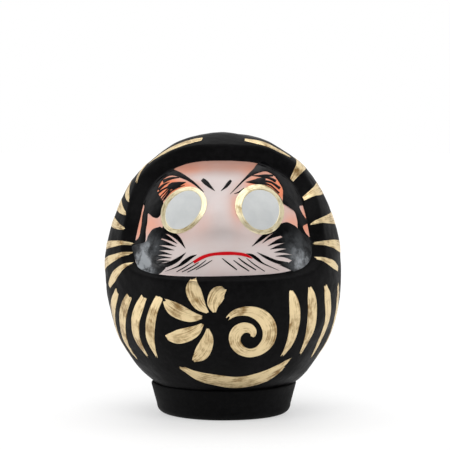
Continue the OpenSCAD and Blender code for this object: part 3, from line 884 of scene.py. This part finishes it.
def patch(way, line_a, line_b, height, base, rows=60, cols=16):
    """Straight ribs between two smooth lines of places; the film thins to nothing on all four edges."""
    s, thin = across(cols)
    t, thin_rows = across(rows)
    u = ((1 + t) / 2)[:, None] + 0 * s[None]
    share = ((1 + s) / 2)[None, :, None]
    places = smooth_line(line_a, u) * (1 - share) + smooth_line(line_b, u) * share
    brush = np.stack([places[..., 0] / 3, places[..., 1] / 3, 0 * u], -1)
    return laid(way, places, height, base, thin[None] * thin_rows[:, None], brush)


# %% A stroke of the brush
STREAK_ACROSS = 2.2
STREAK_ALONG = 0.12
STREAK_SHIFT = 7.3


def bristles(seed, cols, prongs, fray):
    """How far each column falls short of the stroke's end: a few prongs, and a finer ragged edge."""
    rng = np.random.default_rng(seed)
    s = np.linspace(0, 1, cols)
    coarse = np.interp(s, np.linspace(0, 1, prongs), rng.uniform(0, 1, prongs))
    return fray * (0.8 * coarse + 0.2 * rng.uniform(0, 1, cols))


def stroke(way, places, widths, height, base, seed=0, fray=(0.0, 0.0), rows=48, cols=14, prongs=5,
           scale=(1.0, 1.0)):
    """Middle line plus its normal times the half width; frayed columns start late or end early."""
    s, thin = across(cols)
    t, thin_rows = across(rows)
    start = bristles(seed, cols, prongs, fray[0])
    end = 1 - bristles(seed + 1, cols, prongs, fray[1])
    u = start[None] + (end - start)[None] * ((1 + t) / 2)[:, None]
    middle = smooth_line(places, u)
    step = 0.01
    slope = (smooth_line(places, u + step) - smooth_line(places, u - step)) * np.array(scale)
    slope /= np.maximum(np.linalg.norm(slope, axis=-1, keepdims=True), 1e-9)
    normal = np.stack([-slope[..., 1], slope[..., 0]], -1) / np.array(scale)
    half = smooth_line(np.asarray(widths, float)[:, None], u)[..., 0] / 2
    half = np.maximum(half, 0.02)
    places_2d = middle + normal * (half * s[None])[..., None]
    length = np.linalg.norm(np.diff(np.asarray(places, float) * scale, axis=0), axis=-1).sum()
    streaks = half * s[None] * STREAK_ACROSS + STREAK_SHIFT * seed
    brush = np.stack([streaks, u * length * STREAK_ALONG, 0 * u + seed], -1)
    return laid(way, places_2d, height, base, thin[None] * thin_rows[:, None], brush)


# %% Ways onto the face, by side
LEFT, RIGHT = -1, 1
FACE_LIFT = GROUND_LIFT + 0.03


def on_face(side):
    """A way for places given outwards from the middle and up from the window's lower edge."""
    return lambda p: front(np.stack([side * p[..., 0], p[..., 1] + WINDOW_LOW], -1))


def strokes(way, drawing, height, base, first_seed=0, seed_step=1, **settings):
    """A stroke for each pair of places and widths in the drawing, each with its own seed."""
    return [
        stroke(way, places, widths, height, base, seed=first_seed + seed_step * k, **settings)
        for k, (places, widths) in enumerate(drawing)
    ]


print("paint on the face stands", FACE_LIFT, "mm off the paper")

# %% [markdown]
# ## Eyes
#
# A new daruma has blank eyes: its owner paints one pupil when making a wish and the other when it comes
# true. Each white is a flat disc of thick paint, drawn by hand as an oval, and a gold ring is painted
# round it freehand, so its width changes on the way. A stock circle laid on the face would look printed,
# so each outline is an oval in polar form with a few slow waves of its own.

# %% Whites and gold rings
EYE_TURNS = np.arange(160) * 2 * np.pi / 160


def oval(middle, long, short, lean, seed, wobble):
    """An oval by angle: its long half leans out at the bottom, and a few slow waves make it handmade."""
    lean = np.radians(lean)
    u, v = long * np.sin(EYE_TURNS), short * np.cos(EYE_TURNS)
    rng = np.random.default_rng(seed)
    waves = sum(rng.normal() * np.sin(k * EYE_TURNS + rng.uniform(0, 6.3)) / k for k in (2, 3, 4, 5))
    sway = 1 + wobble * waves / long
    out = middle[0] + (v * np.cos(lean) - u * np.sin(lean)) * sway
    up = middle[1] + (v * np.sin(lean) + u * np.cos(lean)) * sway
    return np.stack([out, up], -1)


def disc(way, outline, middle, height, base):
    """Rings from the middle out to the outline, whose lift falls off in the last ring."""
    shares = np.concatenate([np.linspace(0.06, 0.94, 18), [0.97, 0.99, 1.0]])
    places = np.asarray(middle) + (outline - middle)[None] * shares[:, None, None]
    thin = np.sqrt(np.maximum(0, 1 - shares**30))[:, None]
    d = way(places)
    pole = way(np.asarray(middle, float))
    return dome(skin(pole, base + height), skin(d, base + height * thin), skin(pole, base - SINK),
                skin(d, base - SINK))


def ring_film(way, inner, outer, height, base, cols=12):
    """A closed ring between two outlines, with rounded edges."""
    s, thin = across(cols)
    share = ((1 + s) / 2)[:, None, None]
    places = inner[None] * (1 - share) + outer[None] * share
    radius = np.linalg.norm(outer.mean(0) - outer[0])
    brush = np.stack([
        s[:, None] * 2 + 0 * EYE_TURNS[None],
        0 * s[:, None] + np.cos(EYE_TURNS)[None] * radius * 0.2,
        0 * s[:, None] + np.sin(EYE_TURNS)[None] * radius * 0.2,
    ], -1)
    return laid(way, places, height, base, thin[:, None], brush, closed=True)


EYES = {
    LEFT: dict(white=((17.6, 30.0), 9.9, 7.35, 39), rim=((17.6, 30.1), 11.9, 9.3, 41)),
    RIGHT: dict(white=((17.2, 30.1), 9.3, 8.7, 11), rim=((16.8, 30.4), 11.8, 10.8, 34)),
}
NAMES = {LEFT: "left", RIGHT: "right"}
for side, eye in EYES.items():
    way = on_face(side)
    white = oval(*eye["white"], seed=21 + side, wobble=0.12)
    rim = oval(*eye["rim"], seed=31 + side, wobble=0.22)
    inner_rim = eye["white"][0] + (white - eye["white"][0]) * 0.97
    make(f"eye_disc_{NAMES[side]}", [disc(way, white, eye["white"][0], 0.16, FACE_LIFT + 0.05)],
         [f"eye_white_{NAMES[side]}"], EYE_PAINT)
    make(f"eye_ring_{NAMES[side]}", [ring_film(way, inner_rim, rim, 0.22, FACE_LIFT + 0.05)],
         [f"eye_rim_{NAMES[side]}"], RIM_GOLD)

# %% [markdown]
# ## Brows
#
# The brows stand for a crane and the beard for a tortoise, both signs of long life. Each brow starts as
# a hair line beside the nose, swells under the hood, and runs down the side of the face to the beard. A
# stroke could not follow both of its edges, so a band is a patch between an inner and an outer line. The
# two sides were painted a little differently, so each has its own places, out and up in mm.

# %% Brow bands
LACQUER_H = 0.2


def beside_wall(q, start, end, count):
    """Places along the window's outline at q, between two angles from its middle, in degrees."""
    angle = np.radians(np.linspace(start, end, count))
    return [tuple(place) for place in window(q, angle) - [0, WINDOW_LOW]]


BROWS = {
    LEFT: (
        [(8.6, 38.3), (12.4, 41.2), (15.8, 43.3), (20.2, 45), (24.2, 45.8), (27.8, 44), (29.6, 41),
         (30.2, 37.4), (27.3, 33.6), (27.5, 29.6), (29.4, 26.4), (32, 26.6), (34.3, 28.4), (34.5, 24),
         (34.9, 20.2), (34.7, 16.1), (35.6, 11.5)],
        [(8.4, 38.5), (11.5, 41.7), (14.6, 44.2), (18.5, 46.7), (22.3, 48.3), *beside_wall(0.972, 50, 13, 6),
         (36.5, 31), (37.2, 27), (37.4, 22), (38.2, 17), *beside_wall(0.968, -25, -29, 2)],
    ),
    RIGHT: (
        [(3.6, 37.3), (7.4, 41.1), (10.3, 43.8), (13.2, 45.7), (16.6, 47.1), (20, 47.8), (23.4, 46),
         (25.8, 43), (27.6, 39.4), (27.6, 36.2), (27.6, 32.8), (30.1, 32.1), (33, 29), (34.1, 24.9),
         (34.3, 21.5), (36.4, 17.6)],
        [(3.3, 37.2), (7.3, 41.9), (11.4, 46.2), (14, 48.8), *beside_wall(0.975, 62, 11, 6),
         (35.4, 31.4), (36.6, 28), *beside_wall(0.966, -5, -8, 2), (36.6, 22), (38, 18.6),
         *beside_wall(0.968, -22, -24, 2)],
    ),
}
for side, (inner, outer) in BROWS.items():
    band = patch(on_face(side), inner, outer, LACQUER_H, FACE_LIFT, rows=150, cols=24)
    make(f"brow_{NAMES[side]}", [band], [f"eyebrow_{NAMES[side]}"], BLACK_LACQUER)

# %% Hairs between brow and eye
HAIRS = {
    LEFT: [
        ([(16.9, 42.9), (20.4, 41.9), (23.4, 41), (25.3, 40.2)], [0.1, 1.7, 2.4, 1.2]),
        ([(20.2, 44.9), (24.1, 44.5), (28, 42.9)], [0.2, 0.9, 1.3]),
        ([(24.6, 42.8), (27.6, 41.3), (30, 39)], [0.1, 0.8, 1.0]),
        ([(25, 40.6), (27.9, 39.1), (30.8, 36.8)], [0.6, 0.6, 0.8]),
        ([(24.9, 40), (27.4, 37.4), (30, 34.6)], [0.4, 0.35, 0.4]),
        ([(24.4, 39.6), (26.6, 36.8), (28.9, 33.6)], [0.4, 0.35, 0.4]),
        ([(24, 39.4), (25.7, 36.8), (27.9, 33.2)], [0.4, 0.4, 0.5]),
        ([(17.4, 41.5), (20.9, 40.2), (23.9, 38.3), (26.7, 34.5)], [0.15, 0.4, 0.45, 0.3]),
    ],
    RIGHT: [
        ([(10.6, 43), (14.4, 43.1), (17.4, 43.2), (19.8, 43.1)], [0.1, 1.5, 2.6, 2.2]),
        ([(13.4, 45.9), (17, 45.7), (20, 45.9), (23.4, 45.8)], [0.15, 0.7, 0.8, 0.6]),
        ([(17.6, 45), (21, 44.9), (24.6, 43.2)], [0.15, 0.8, 1.0]),
        ([(19.2, 43.4), (22.6, 42.6), (26.4, 39.8)], [0.8, 0.7, 1.0]),
        ([(19.2, 42.4), (22.4, 41), (25.9, 37.6)], [0.6, 0.5, 0.6]),
        ([(19.4, 41.6), (22.6, 39.5), (25.4, 36.4), (27.2, 33)], [0.3, 0.5, 0.7, 0.9]),
        ([(5.4, 37.6), (7.9, 38.6), (9.9, 40.3)], [0.15, 0.5, 0.3]),
    ],
}
HAIR_THICK = 1.3
HAIR_H = 0.14
for side, hairs in HAIRS.items():
    thick = [(places, HAIR_THICK * np.array(widths)) for places, widths in hairs]
    solids = strokes(on_face(side), thick, HAIR_H, FACE_LIFT + 0.03, rows=26, cols=8)
    make(f"hairs_{NAMES[side]}", solids, [f"brow_hairs_{NAMES[side]}"], BLACK_LACQUER)

# %% [markdown]
# ## Beard and whiskers
#
# A thick lacquer fills the window's lower corner and pools there; low in its outer corner a grey painted
# sheen stands for a reflection. Its inner edge is combed into teeth that point at the end of the mouth, and
# finer hairs fan over the chin.
# The pool is a patch, each tooth is a tapered stroke that starts inside it, and each hair is a thin
# stroke of its own, because that is how the brush made them.

# %% Beards: a pool of lacquer and its teeth
POOLS = {
    LEFT: (
        [(26.6, 21.4), (25.4, 19.4), (26.6, 17.4), (28.6, 15.4), (30, 12.8), (30.4, 10), (30.2, 7.8),
         (28.8, 5.9), (26.4, 4.5), (24.6, 4)],
        [(28.2, 22.4), (31.6, 21), (33.6, 18), (34.9, 15), *beside_wall(0.972, -28, -40, 3),
         *beside_wall(0.988, -46, -57, 3)],
    ),
    RIGHT: (
        [(24.6, 22), (23.4, 20.2), (25.6, 18.8), (27.9, 16.4), (29.3, 13.7), (30.6, 10.9), (31.2, 8),
         (28.8, 6), (26.4, 5.2), (24.6, 5.4)],
        [(26, 23.8), (29.4, 24.4), (32.6, 22.9), (34.7, 21), *beside_wall(0.968, -24, -52, 6)],
    ),
}
TEETH = {
    LEFT: [
        ([(27.4, 21), (23.6, 19.9), (19.6, 17.3), (16.2, 12.9)], [3.6, 2.3, 2.0, 0.1]),
        ([(27.4, 18.6), (23.4, 16.9), (19.9, 14.9)], [3.0, 1.5, 0.1]),
        ([(29.8, 15.4), (24.9, 14.8), (20.3, 13.6)], [3.8, 1.8, 0.1]),
        ([(31.2, 12.4), (25.9, 12.5), (21.1, 11.9)], [3.6, 1.7, 0.1]),
        ([(31.4, 9.9), (26.4, 10.4), (21.8, 9.8)], [3.2, 1.5, 0.1]),
        ([(31, 7.7), (26.4, 8.5), (22, 8.4)], [2.8, 1.3, 0.1]),
        ([(29.6, 5.9), (25.9, 6.8), (22.6, 7)], [2.0, 1.0, 0.1]),
        ([(28, 4.6), (23.4, 5.6), (19.2, 8), (15.9, 11.1)], [2.4, 1.9, 1.6, 0.1]),
    ],
    RIGHT: [
        ([(25.4, 22), (20.9, 19.9), (17.2, 17.2), (13.2, 13.9)], [3.2, 2.1, 1.6, 0.1]),
        ([(26.4, 19.9), (21.6, 17.9), (17.8, 15.2)], [3.0, 1.4, 0.1]),
        ([(29, 16.6), (24.2, 15.6), (20.1, 13.9)], [3.6, 1.7, 0.1]),
        ([(30.6, 13.7), (25.5, 13.4), (21.1, 12.4)], [3.7, 1.8, 0.1]),
        ([(31.8, 10.9), (26.9, 11.2), (22.7, 10.9)], [3.4, 1.6, 0.1]),
        ([(32, 7.9), (27.5, 9), (23.3, 9.2)], [2.8, 1.3, 0.1]),
        ([(28.6, 5.4), (23.4, 6.9), (19, 9.1), (15.3, 11.3)], [1.9, 1.4, 1.1, 0.1]),
    ],
}


def painted_sheen(points, side):
    """Amount of painted sheen, a painted reflection: strongest low in the outer corner, and stronger on the
    left.
    """
    x, z = flat_place(points)
    out = side * x
    strength = 1.15 if side == LEFT else 0.82
    corner = spot(out, z, (36, 5), 7, 7) + 0.35 * spot(out, z, (32, 14), 6, 6)
    return strength * np.clip(corner, 0, 1)


for side in (LEFT, RIGHT):
    pool = patch(on_face(side), *POOLS[side], LACQUER_H, FACE_LIFT, rows=110, cols=30)
    teeth = strokes(on_face(side), TEETH[side], LACQUER_H * 0.9, FACE_LIFT, rows=34, cols=12)
    beard = make(f"beard_lacquer_{NAMES[side]}", [pool, *teeth], [f"beard_{NAMES[side]}"],
                 PAINTED_SHEEN_LACQUER)
    # The beard keeps the amount of painted reflection on its points.
    keep(beard, "painted_sheen", painted_sheen(joined([pool, *teeth])[0], side))

# %% Chin whiskers and frown
WHISKERS = {
    LEFT: [
        ([(11, 10.2), (13.6, 9), (16.5, 6.9), (19.3, 4.9), (25, 2.4)], [0.1, 1.3, 1.6, 0.7, 0.1]),
        ([(12.3, 7.3), (16.4, 4.6), (20, 2.5)], [0.3, 0.5, 0.35]),
        ([(10.1, 6.8), (14, 4.4), (17.6, 2.5)], [0.3, 0.5, 0.35]),
        ([(6.8, 7.8), (10.7, 4.9), (15.2, 2.5)], [0.3, 0.5, 0.35]),
        ([(4.2, 7.8), (7.6, 5.7), (11.4, 3.6)], [0.3, 0.45, 0.3]),
    ],
    RIGHT: [
        ([(10.5, 10.7), (13.1, 9.9), (15.6, 8.1), (18.2, 6.2), (25, 2.9)], [0.1, 1.2, 1.4, 0.6, 0.1]),
        ([(0.1, 8.6), (3, 6.3), (6.5, 3.7)], [0.3, 0.6, 0.5]),
        ([(5, 7.8), (8.1, 5.5), (11.9, 3.1)], [0.3, 0.6, 0.45]),
        ([(7.1, 8.8), (10.1, 6.5), (14.9, 3.5)], [0.35, 0.65, 0.5]),
        ([(10.7, 8.6), (14, 6), (18.8, 2.8)], [0.25, 0.45, 0.3]),
    ],
}
FROWN = {
    LEFT: ([(9.5, 44.2), (7.7, 42.8), (5.6, 40.9), (3.5, 38.9)], [1.6, 2.1, 1.3, 0.1]),
    RIGHT: ([(3.9, 43.9), (2.7, 42.3), (1.1, 40.4), (-0.7, 38.7)], [1.1, 1.6, 1.0, 0.1]),
}
FROWN_H = 0.16
frown = []
for side in (LEFT, RIGHT):
    hairs = strokes(on_face(side), WHISKERS[side], HAIR_H, FACE_LIFT, rows=30, cols=8)
    make(f"whiskers_{NAMES[side]}", hairs, [f"chin_whiskers_{NAMES[side]}"], BLACK_LACQUER)
    frown.append(stroke(on_face(side), *FROWN[side], FROWN_H, FACE_LIFT, rows=30, cols=12))
make("frown", frown, ["frown_marks"], BLACK_LACQUER)

# %% The mouth
MOUTH = [(-12.4, 6.8), (-9.3, 8.6), (-6.4, 9.8), (-2.9, 10.5), (2.2, 10.8), (6.1, 10.7), (9.9, 10.1),
         (13.3, 8.6)]
MOUTH_WIDTHS = [1.3, 1.5, 1.35, 1.3, 1.5, 1.35, 1.3, 0.4]
lips = stroke(on_face(RIGHT), MOUTH, MOUTH_WIDTHS, 0.22, FACE_LIFT + 0.06, rows=90, cols=14)
make("mouth", [lips], ["mouth_line"], RED_LACQUER)

# %% [markdown]
# ## Gold on the hood
#
# Wedge strokes run in from the sides of the head, thin out and fray at the window, and two longer ones
# cross the hood's brow. A flat brush leaves prongs where it lifts, so the ends of the grid's columns are
# moved by a random amount each. Bearings are in degrees from the front, heights in mm from the shoulders.

# %% Hood and crown strokes
GOLD_H = 0.1
GOLD_LIFT = 0.04


def on_side(side):
    """A way for places given as an outward bearing and a height."""
    return lambda p: around(np.stack([side * p[..., 0], p[..., 1]], -1))


def on_top(side):
    """A way for places given outwards and back, as seen from above."""
    return lambda p: on_crown(np.stack([side * p[..., 0], p[..., 1]], -1))


BEARING_MM = np.radians(1) * 46
print("one degree of bearing is about", round(float(BEARING_MM), 2), "mm on the sides")

# %% The strokes' places, and their pieces
HOOD = {
    LEFT: [
        ([(64.4, 42), (70, 46.4), (77, 50), (88, 53)], [0.8, 2.0, 2.4, 2.2]),
        ([(62, 34.8), (69, 37.6), (76, 41), (87, 44.6)], [0.9, 2.8, 3.0, 2.6]),
        ([(59.6, 29.4), (67, 30.8), (74, 32.4), (87, 35)], [0.9, 2.8, 4.2, 4.8]),
        ([(56.8, 23.4), (64, 24), (72, 25), (87, 27)], [0.9, 2.4, 3.8, 4.4]),
        ([(52, 18.3), (60, 17.2), (70, 16), (86, 14)], [0.8, 2.1, 3.1, 4.2]),
        ([(51, 14.5), (59, 11.8), (70, 8.9), (84, 4.8)], [0.8, 2.5, 4.0, 4.6]),
        ([(48.6, 10), (55.5, 6.4), (62, 2.6), (69.6, -2)], [0.8, 2.9, 4.2, 2.4]),
    ],
    RIGHT: [
        ([(54.6, 46.8), (61, 48.4), (70, 50), (80, 51.6), (90, 53)], [0.9, 2.6, 4.0, 4.8, 5.0]),
        ([(55, 38.8), (60, 38.8), (67, 39.1), (75, 39.9), (89, 41)], [0.8, 2.3, 3.8, 4.9, 5.6]),
        ([(53.4, 27.1), (60, 26.9), (69, 27), (78, 27.1), (89, 27.6)], [0.8, 2.3, 4.0, 5.4, 5.8]),
        ([(52, 18.7), (58, 17.5), (66, 16.5), (73, 15.3), (87, 13.4)], [0.8, 2.0, 3.6, 4.8, 5.0]),
        ([(51, 12.1), (57, 10), (63, 8), (69.6, 5.6)], [0.9, 2.3, 3.3, 2.2]),
    ],
}
CROWN = {
    LEFT: ([(8.8, -16.9), (13, -16.6), (19, -15.7), (25.6, -13.9), (32.6, -11.6)], [2.6, 3.7, 3.4, 2.4, 0.8]),
    RIGHT: ([(8.8, -16.9), (13.5, -16.8), (19, -15.9), (24.5, -14.4), (30, -12.8)],
            [2.6, 3.7, 3.4, 2.4, 0.8]),
}
crown = []
for side in (LEFT, RIGHT):
    solids = strokes(on_side(side), HOOD[side], GOLD_H, GOLD_LIFT, first_seed=40, seed_step=3,
                     fray=(0.13, 0.05), rows=70, cols=22, scale=(BEARING_MM, 1.0))
    make(f"hood_gold_{NAMES[side]}", solids, [f"hood_strokes_{NAMES[side]}"], GOLD)
    crown.append(stroke(on_top(side), *CROWN[side], GOLD_H, GOLD_LIFT, seed=60 + side, fray=(0.04, 0.1),
                        rows=80, cols=24))
make("crown_gold", crown, ["crown_strokes"], GOLD)

# %% [markdown]
# ## Gold on the belly
#
# Four curved strokes on each side are the folds of a monk's robe, laid as the hood's are. Where a real
# doll wears a written wish between them, this one has an ornament of the same weight that is not writing:
# a rolled cloud, a spray of leaves and a wave. Drawn as flat decals they would miss the belly's curve, so
# they are strokes too, laid from the front by the same rule.

# %% Robe strokes
BELLY = {
    LEFT: [
        ([(29.4, -3.6), (33.8, -9.4), (37.2, -15.3), (39.4, -21.2), (40.3, -26.6), (40.2, -32.2)],
         [3.0, 3.9, 4.7, 4.5, 3.2, 0.5]),
        ([(38.8, -4), (44.2, -10), (48.6, -16.1), (50.4, -22), (49.9, -27.2), (48.4, -33)],
         [2.8, 4.5, 5.0, 4.8, 3.4, 0.5]),
        ([(48.8, -4.2), (55.4, -10.1), (61.6, -16.6), (65.2, -23.3), (66.2, -28.6), (64.4, -35)],
         [2.8, 4.6, 5.0, 4.8, 3.2, 0.5]),
        ([(58.8, -2.6), (66.4, -8.8), (74.6, -15.5), (79, -22), (80, -28), (78.4, -35.6)],
         [2.6, 4.4, 5.0, 4.6, 3.2, 0.6]),
    ],
    RIGHT: [
        ([(32.7, -1), (35.3, -6.5), (37.5, -13.8), (38.3, -20.3), (37.3, -25.6), (34.4, -31.2)],
         [1.4, 4.2, 5.2, 4.9, 3.6, 0.7]),
        ([(43.6, 0), (46, -4.9), (49, -12.3), (50.4, -19.7), (50.2, -25.5), (48.6, -31.8)],
         [1.2, 4.2, 5.2, 5.0, 3.4, 0.7]),
        ([(54.4, 0.2), (59, -5.9), (63.4, -12.8), (65.4, -19.4), (66.4, -26.6), (66.8, -34.8)],
         [1.4, 4.2, 4.8, 4.4, 3.4, 0.6]),
        ([(69.8, -0.4), (75.6, -7.2), (79.6, -14.1), (81.6, -21), (82, -28), (81, -36)],
         [1.4, 4.2, 4.8, 4.4, 3.2, 0.6]),
    ],
}
for side in (LEFT, RIGHT):
    solids = strokes(on_side(side), BELLY[side], GOLD_H, GOLD_LIFT, first_seed=80, seed_step=3,
                     fray=(0.04, 0.07), rows=80, cols=22, scale=(BEARING_MM, 1.0))
    make(f"robe_gold_{NAMES[side]}", solids, [f"belly_strokes_{NAMES[side]}"], GOLD)

# %% The ornament: cloud, leaves and wave
def spiral(middle, turns, inner, outer, end, count):
    """Places of a spiral whose radius grows evenly with its angle."""
    t = np.linspace(0, 1, count)
    angle = np.radians(end) - 2 * np.pi * turns * (1 - t)
    r = inner + (outer - inner) * t
    return np.stack([middle[0] + r * np.cos(angle), middle[1] + r * np.sin(angle)], -1)


def leaf(middle, angle, root, tip, bend):
    """Places of a leaf's middle line, bowed to one side."""
    ray = np.array([np.cos(angle), np.sin(angle)])
    aside = bend * np.array([-ray[1], ray[0]])
    reach = np.array([0, 0.3, 0.7, 1])
    return middle + (root + (tip - root) * reach)[:, None] * ray + np.array([0, 1, 1, 0])[:, None] * aside


cloud = spiral((11, -20.5), turns=1.45, inner=1.6, outer=12.3, end=150, count=17)
wave = [(-19, -34.5), (-9, -39.6), (4, -41.8), (18, -39.6), (31, -31)]
spray = np.array([-4.5, -13.5])
ornament = [
    stroke(front, cloud, [1.2, 3.4, 4.6, 5.2, 4.6, 3.8, 5.4, 6.2, 4.2, 1.2], GOLD_H, GOLD_LIFT, seed=100,
           fray=(0.02, 0.05), rows=240, cols=24),
    stroke(front, wave, [1.0, 4.4, 5.8, 5.0, 0.8], GOLD_H, GOLD_LIFT, seed=103, fray=(0.08, 0.16),
           rows=120, cols=24),
]
FIRST_LEAF = 66
LEAF_TURN = 45
for k, tip in enumerate((15.5, 20, 22, 21.5, 20.5)):
    places = leaf(spray, np.radians(FIRST_LEAF + LEAF_TURN * k), root=3.5, tip=tip, bend=2.0)
    ornament.append(stroke(front, places, [0.9, 5.2, 6.2, 1.2], GOLD_H, GOLD_LIFT, seed=110 + 3 * k,
                           fray=(0.05, 0.14), rows=60, cols=24))
make("belly_gold", ornament, ["belly_ornament"], GOLD)

# %% [markdown]
# ## The studio
#
# A large softbox hangs over the doll and another stands high in front, with two small ones low at the
# sides. The floor and the air are white, but the air in front of the doll is dark, so gold that faces
# forward has something dark to reflect and turns brown, as it does in a room.

# %% Floor
def floor_material():
    """Pale paint that starts to glow white a hand away, as an evenly lit studio sweep looks."""
    material, shader = new_material("studio_floor", (0.86, 0.86, 0.86), 0.7, specular=0.2)
    where = object_place(material)
    reach = add(material, "ShaderNodeVectorMath", {"operation": "LENGTH"})
    link(material, where, reach.inputs[0])
    far = between(material, reach.outputs["Value"], 0.55, 1.0, 0.1, 0.6)
    near = between(material, reach.outputs["Value"], 0.42, 0.0, 0.1, 0.6)
    gray = add(material, "ShaderNodeCombineColor")
    for channel in ("Red", "Green", "Blue"):
        link(material, near, gray.inputs[channel])
    link(material, gray.outputs["Color"], shader.inputs["Base Color"])
    shader.inputs["Emission Color"].default_value = (1, 1, 1, 1)
    link(material, far, shader.inputs["Emission Strength"])
    return material


FLOOR_HALF = 6.0
floor_mesh = bpy.data.meshes.new("studio_floor")
corners = [(-FLOOR_HALF, -FLOOR_HALF, 0), (FLOOR_HALF, -FLOOR_HALF, 0), (FLOOR_HALF, FLOOR_HALF, 0),
           (-FLOOR_HALF, FLOOR_HALF, 0)]
floor_mesh.from_pydata(corners, [], [(0, 1, 2, 3)])
floor_mesh.materials.append(floor_material())
floor = bpy.data.objects.new("studio_floor", floor_mesh)
bpy.context.scene.collection.objects.link(floor)

# %% Lights
def softbox(name, place, target, size, watts):
    """A rectangular area light that looks at the target."""
    light = bpy.data.lights.new(name, "AREA")
    light.shape = "RECTANGLE"
    light.size, light.size_y = size
    light.energy = watts
    lamp = bpy.data.objects.new(name, light)
    lamp.location = place
    lamp.rotation_euler = (Vector(target) - Vector(place)).to_track_quat("-Z", "Y").to_euler()
    bpy.context.scene.collection.objects.link(lamp)
    print(f"{name}: {watts} W from", place)


softbox("overhead", (0, 0.15, 1.1), (0, 0, 0.06), (1.1, 0.8), 4.3)
softbox("front_top", (0, -0.7, 1.1), (0, 0, 0.07), (0.9, 0.5), 6.4)
softbox("left_strip", (-0.55, -0.2, 0.07), (0, 0, 0.07), (0.2, 0.12), 0.55)
softbox("right_strip", (0.55, -0.2, 0.07), (0, 0, 0.07), (0.2, 0.12), 0.3)

# %% The air: white all round, and dark in front to what the doll reflects
world = bpy.data.worlds.new("studio")
world.use_nodes = True
bpy.context.scene.world = world
tree = world.node_tree
sky = tree.nodes["Background"]
place = tree.nodes.new("ShaderNodeTexCoord")
split = tree.nodes.new("ShaderNodeSeparateXYZ")
shade = tree.nodes.new("ShaderNodeMapRange")
tree.links.new(place.outputs["Generated"], split.inputs[0])
tree.links.new(split.outputs["Y"], shade.inputs["Value"])
for key, value in (("From Min", -0.35), ("From Max", 0.25), ("To Min", 0.06), ("To Max", 1.0)):
    shade.inputs[key].default_value = value
rays = tree.nodes.new("ShaderNodeLightPath")
seen = tree.nodes.new("ShaderNodeMath")
seen.operation = "MAXIMUM"
tree.links.new(shade.outputs["Result"], seen.inputs[0])
tree.links.new(rays.outputs["Is Camera Ray"], seen.inputs[1])
tree.links.new(seen.outputs["Value"], sky.inputs["Strength"])
sky.inputs["Color"].default_value = (1, 1, 1, 1)

# %% Camera, a little above the doll and looking slightly down
CAMERA_YAW = np.radians(1.0)
CAMERA_DROP = np.radians(4.7)
CAMERA_FAR = 850.0
CAMERA_LENS = 151.496
SENSOR_W = 36.0
AIM_UP = 21.5
AIM_ASIDE = 0.45
forward = np.array([-np.sin(CAMERA_YAW) * np.cos(CAMERA_DROP), np.cos(CAMERA_YAW) * np.cos(CAMERA_DROP),
                    -np.sin(CAMERA_DROP)])
aside = np.array([np.cos(CAMERA_YAW), np.sin(CAMERA_YAW), 0])
upward = np.cross(aside, forward)
doll_middle = np.array([0, 0, CROWN_Z / 2])
station = doll_middle - forward * CAMERA_FAR
aim = doll_middle + upward * AIM_UP + aside * AIM_ASIDE
camera_data = bpy.data.cameras.new("studio_camera")
camera_data.sensor_width = SENSOR_W
camera_data.lens = CAMERA_LENS
camera_data.clip_end = 50
camera = bpy.data.objects.new("studio_camera", camera_data)
camera.location = Vector(station * MM)
camera.rotation_euler = Vector((aim - station) * MM).to_track_quat("-Z", "Y").to_euler()
bpy.context.scene.collection.objects.link(camera)
bpy.context.scene.camera = camera
bpy.context.scene.view_settings.view_transform = "Standard"
print("camera at", [round(float(v) * MM, 3) for v in station], "lens", round(camera_data.lens, 1))
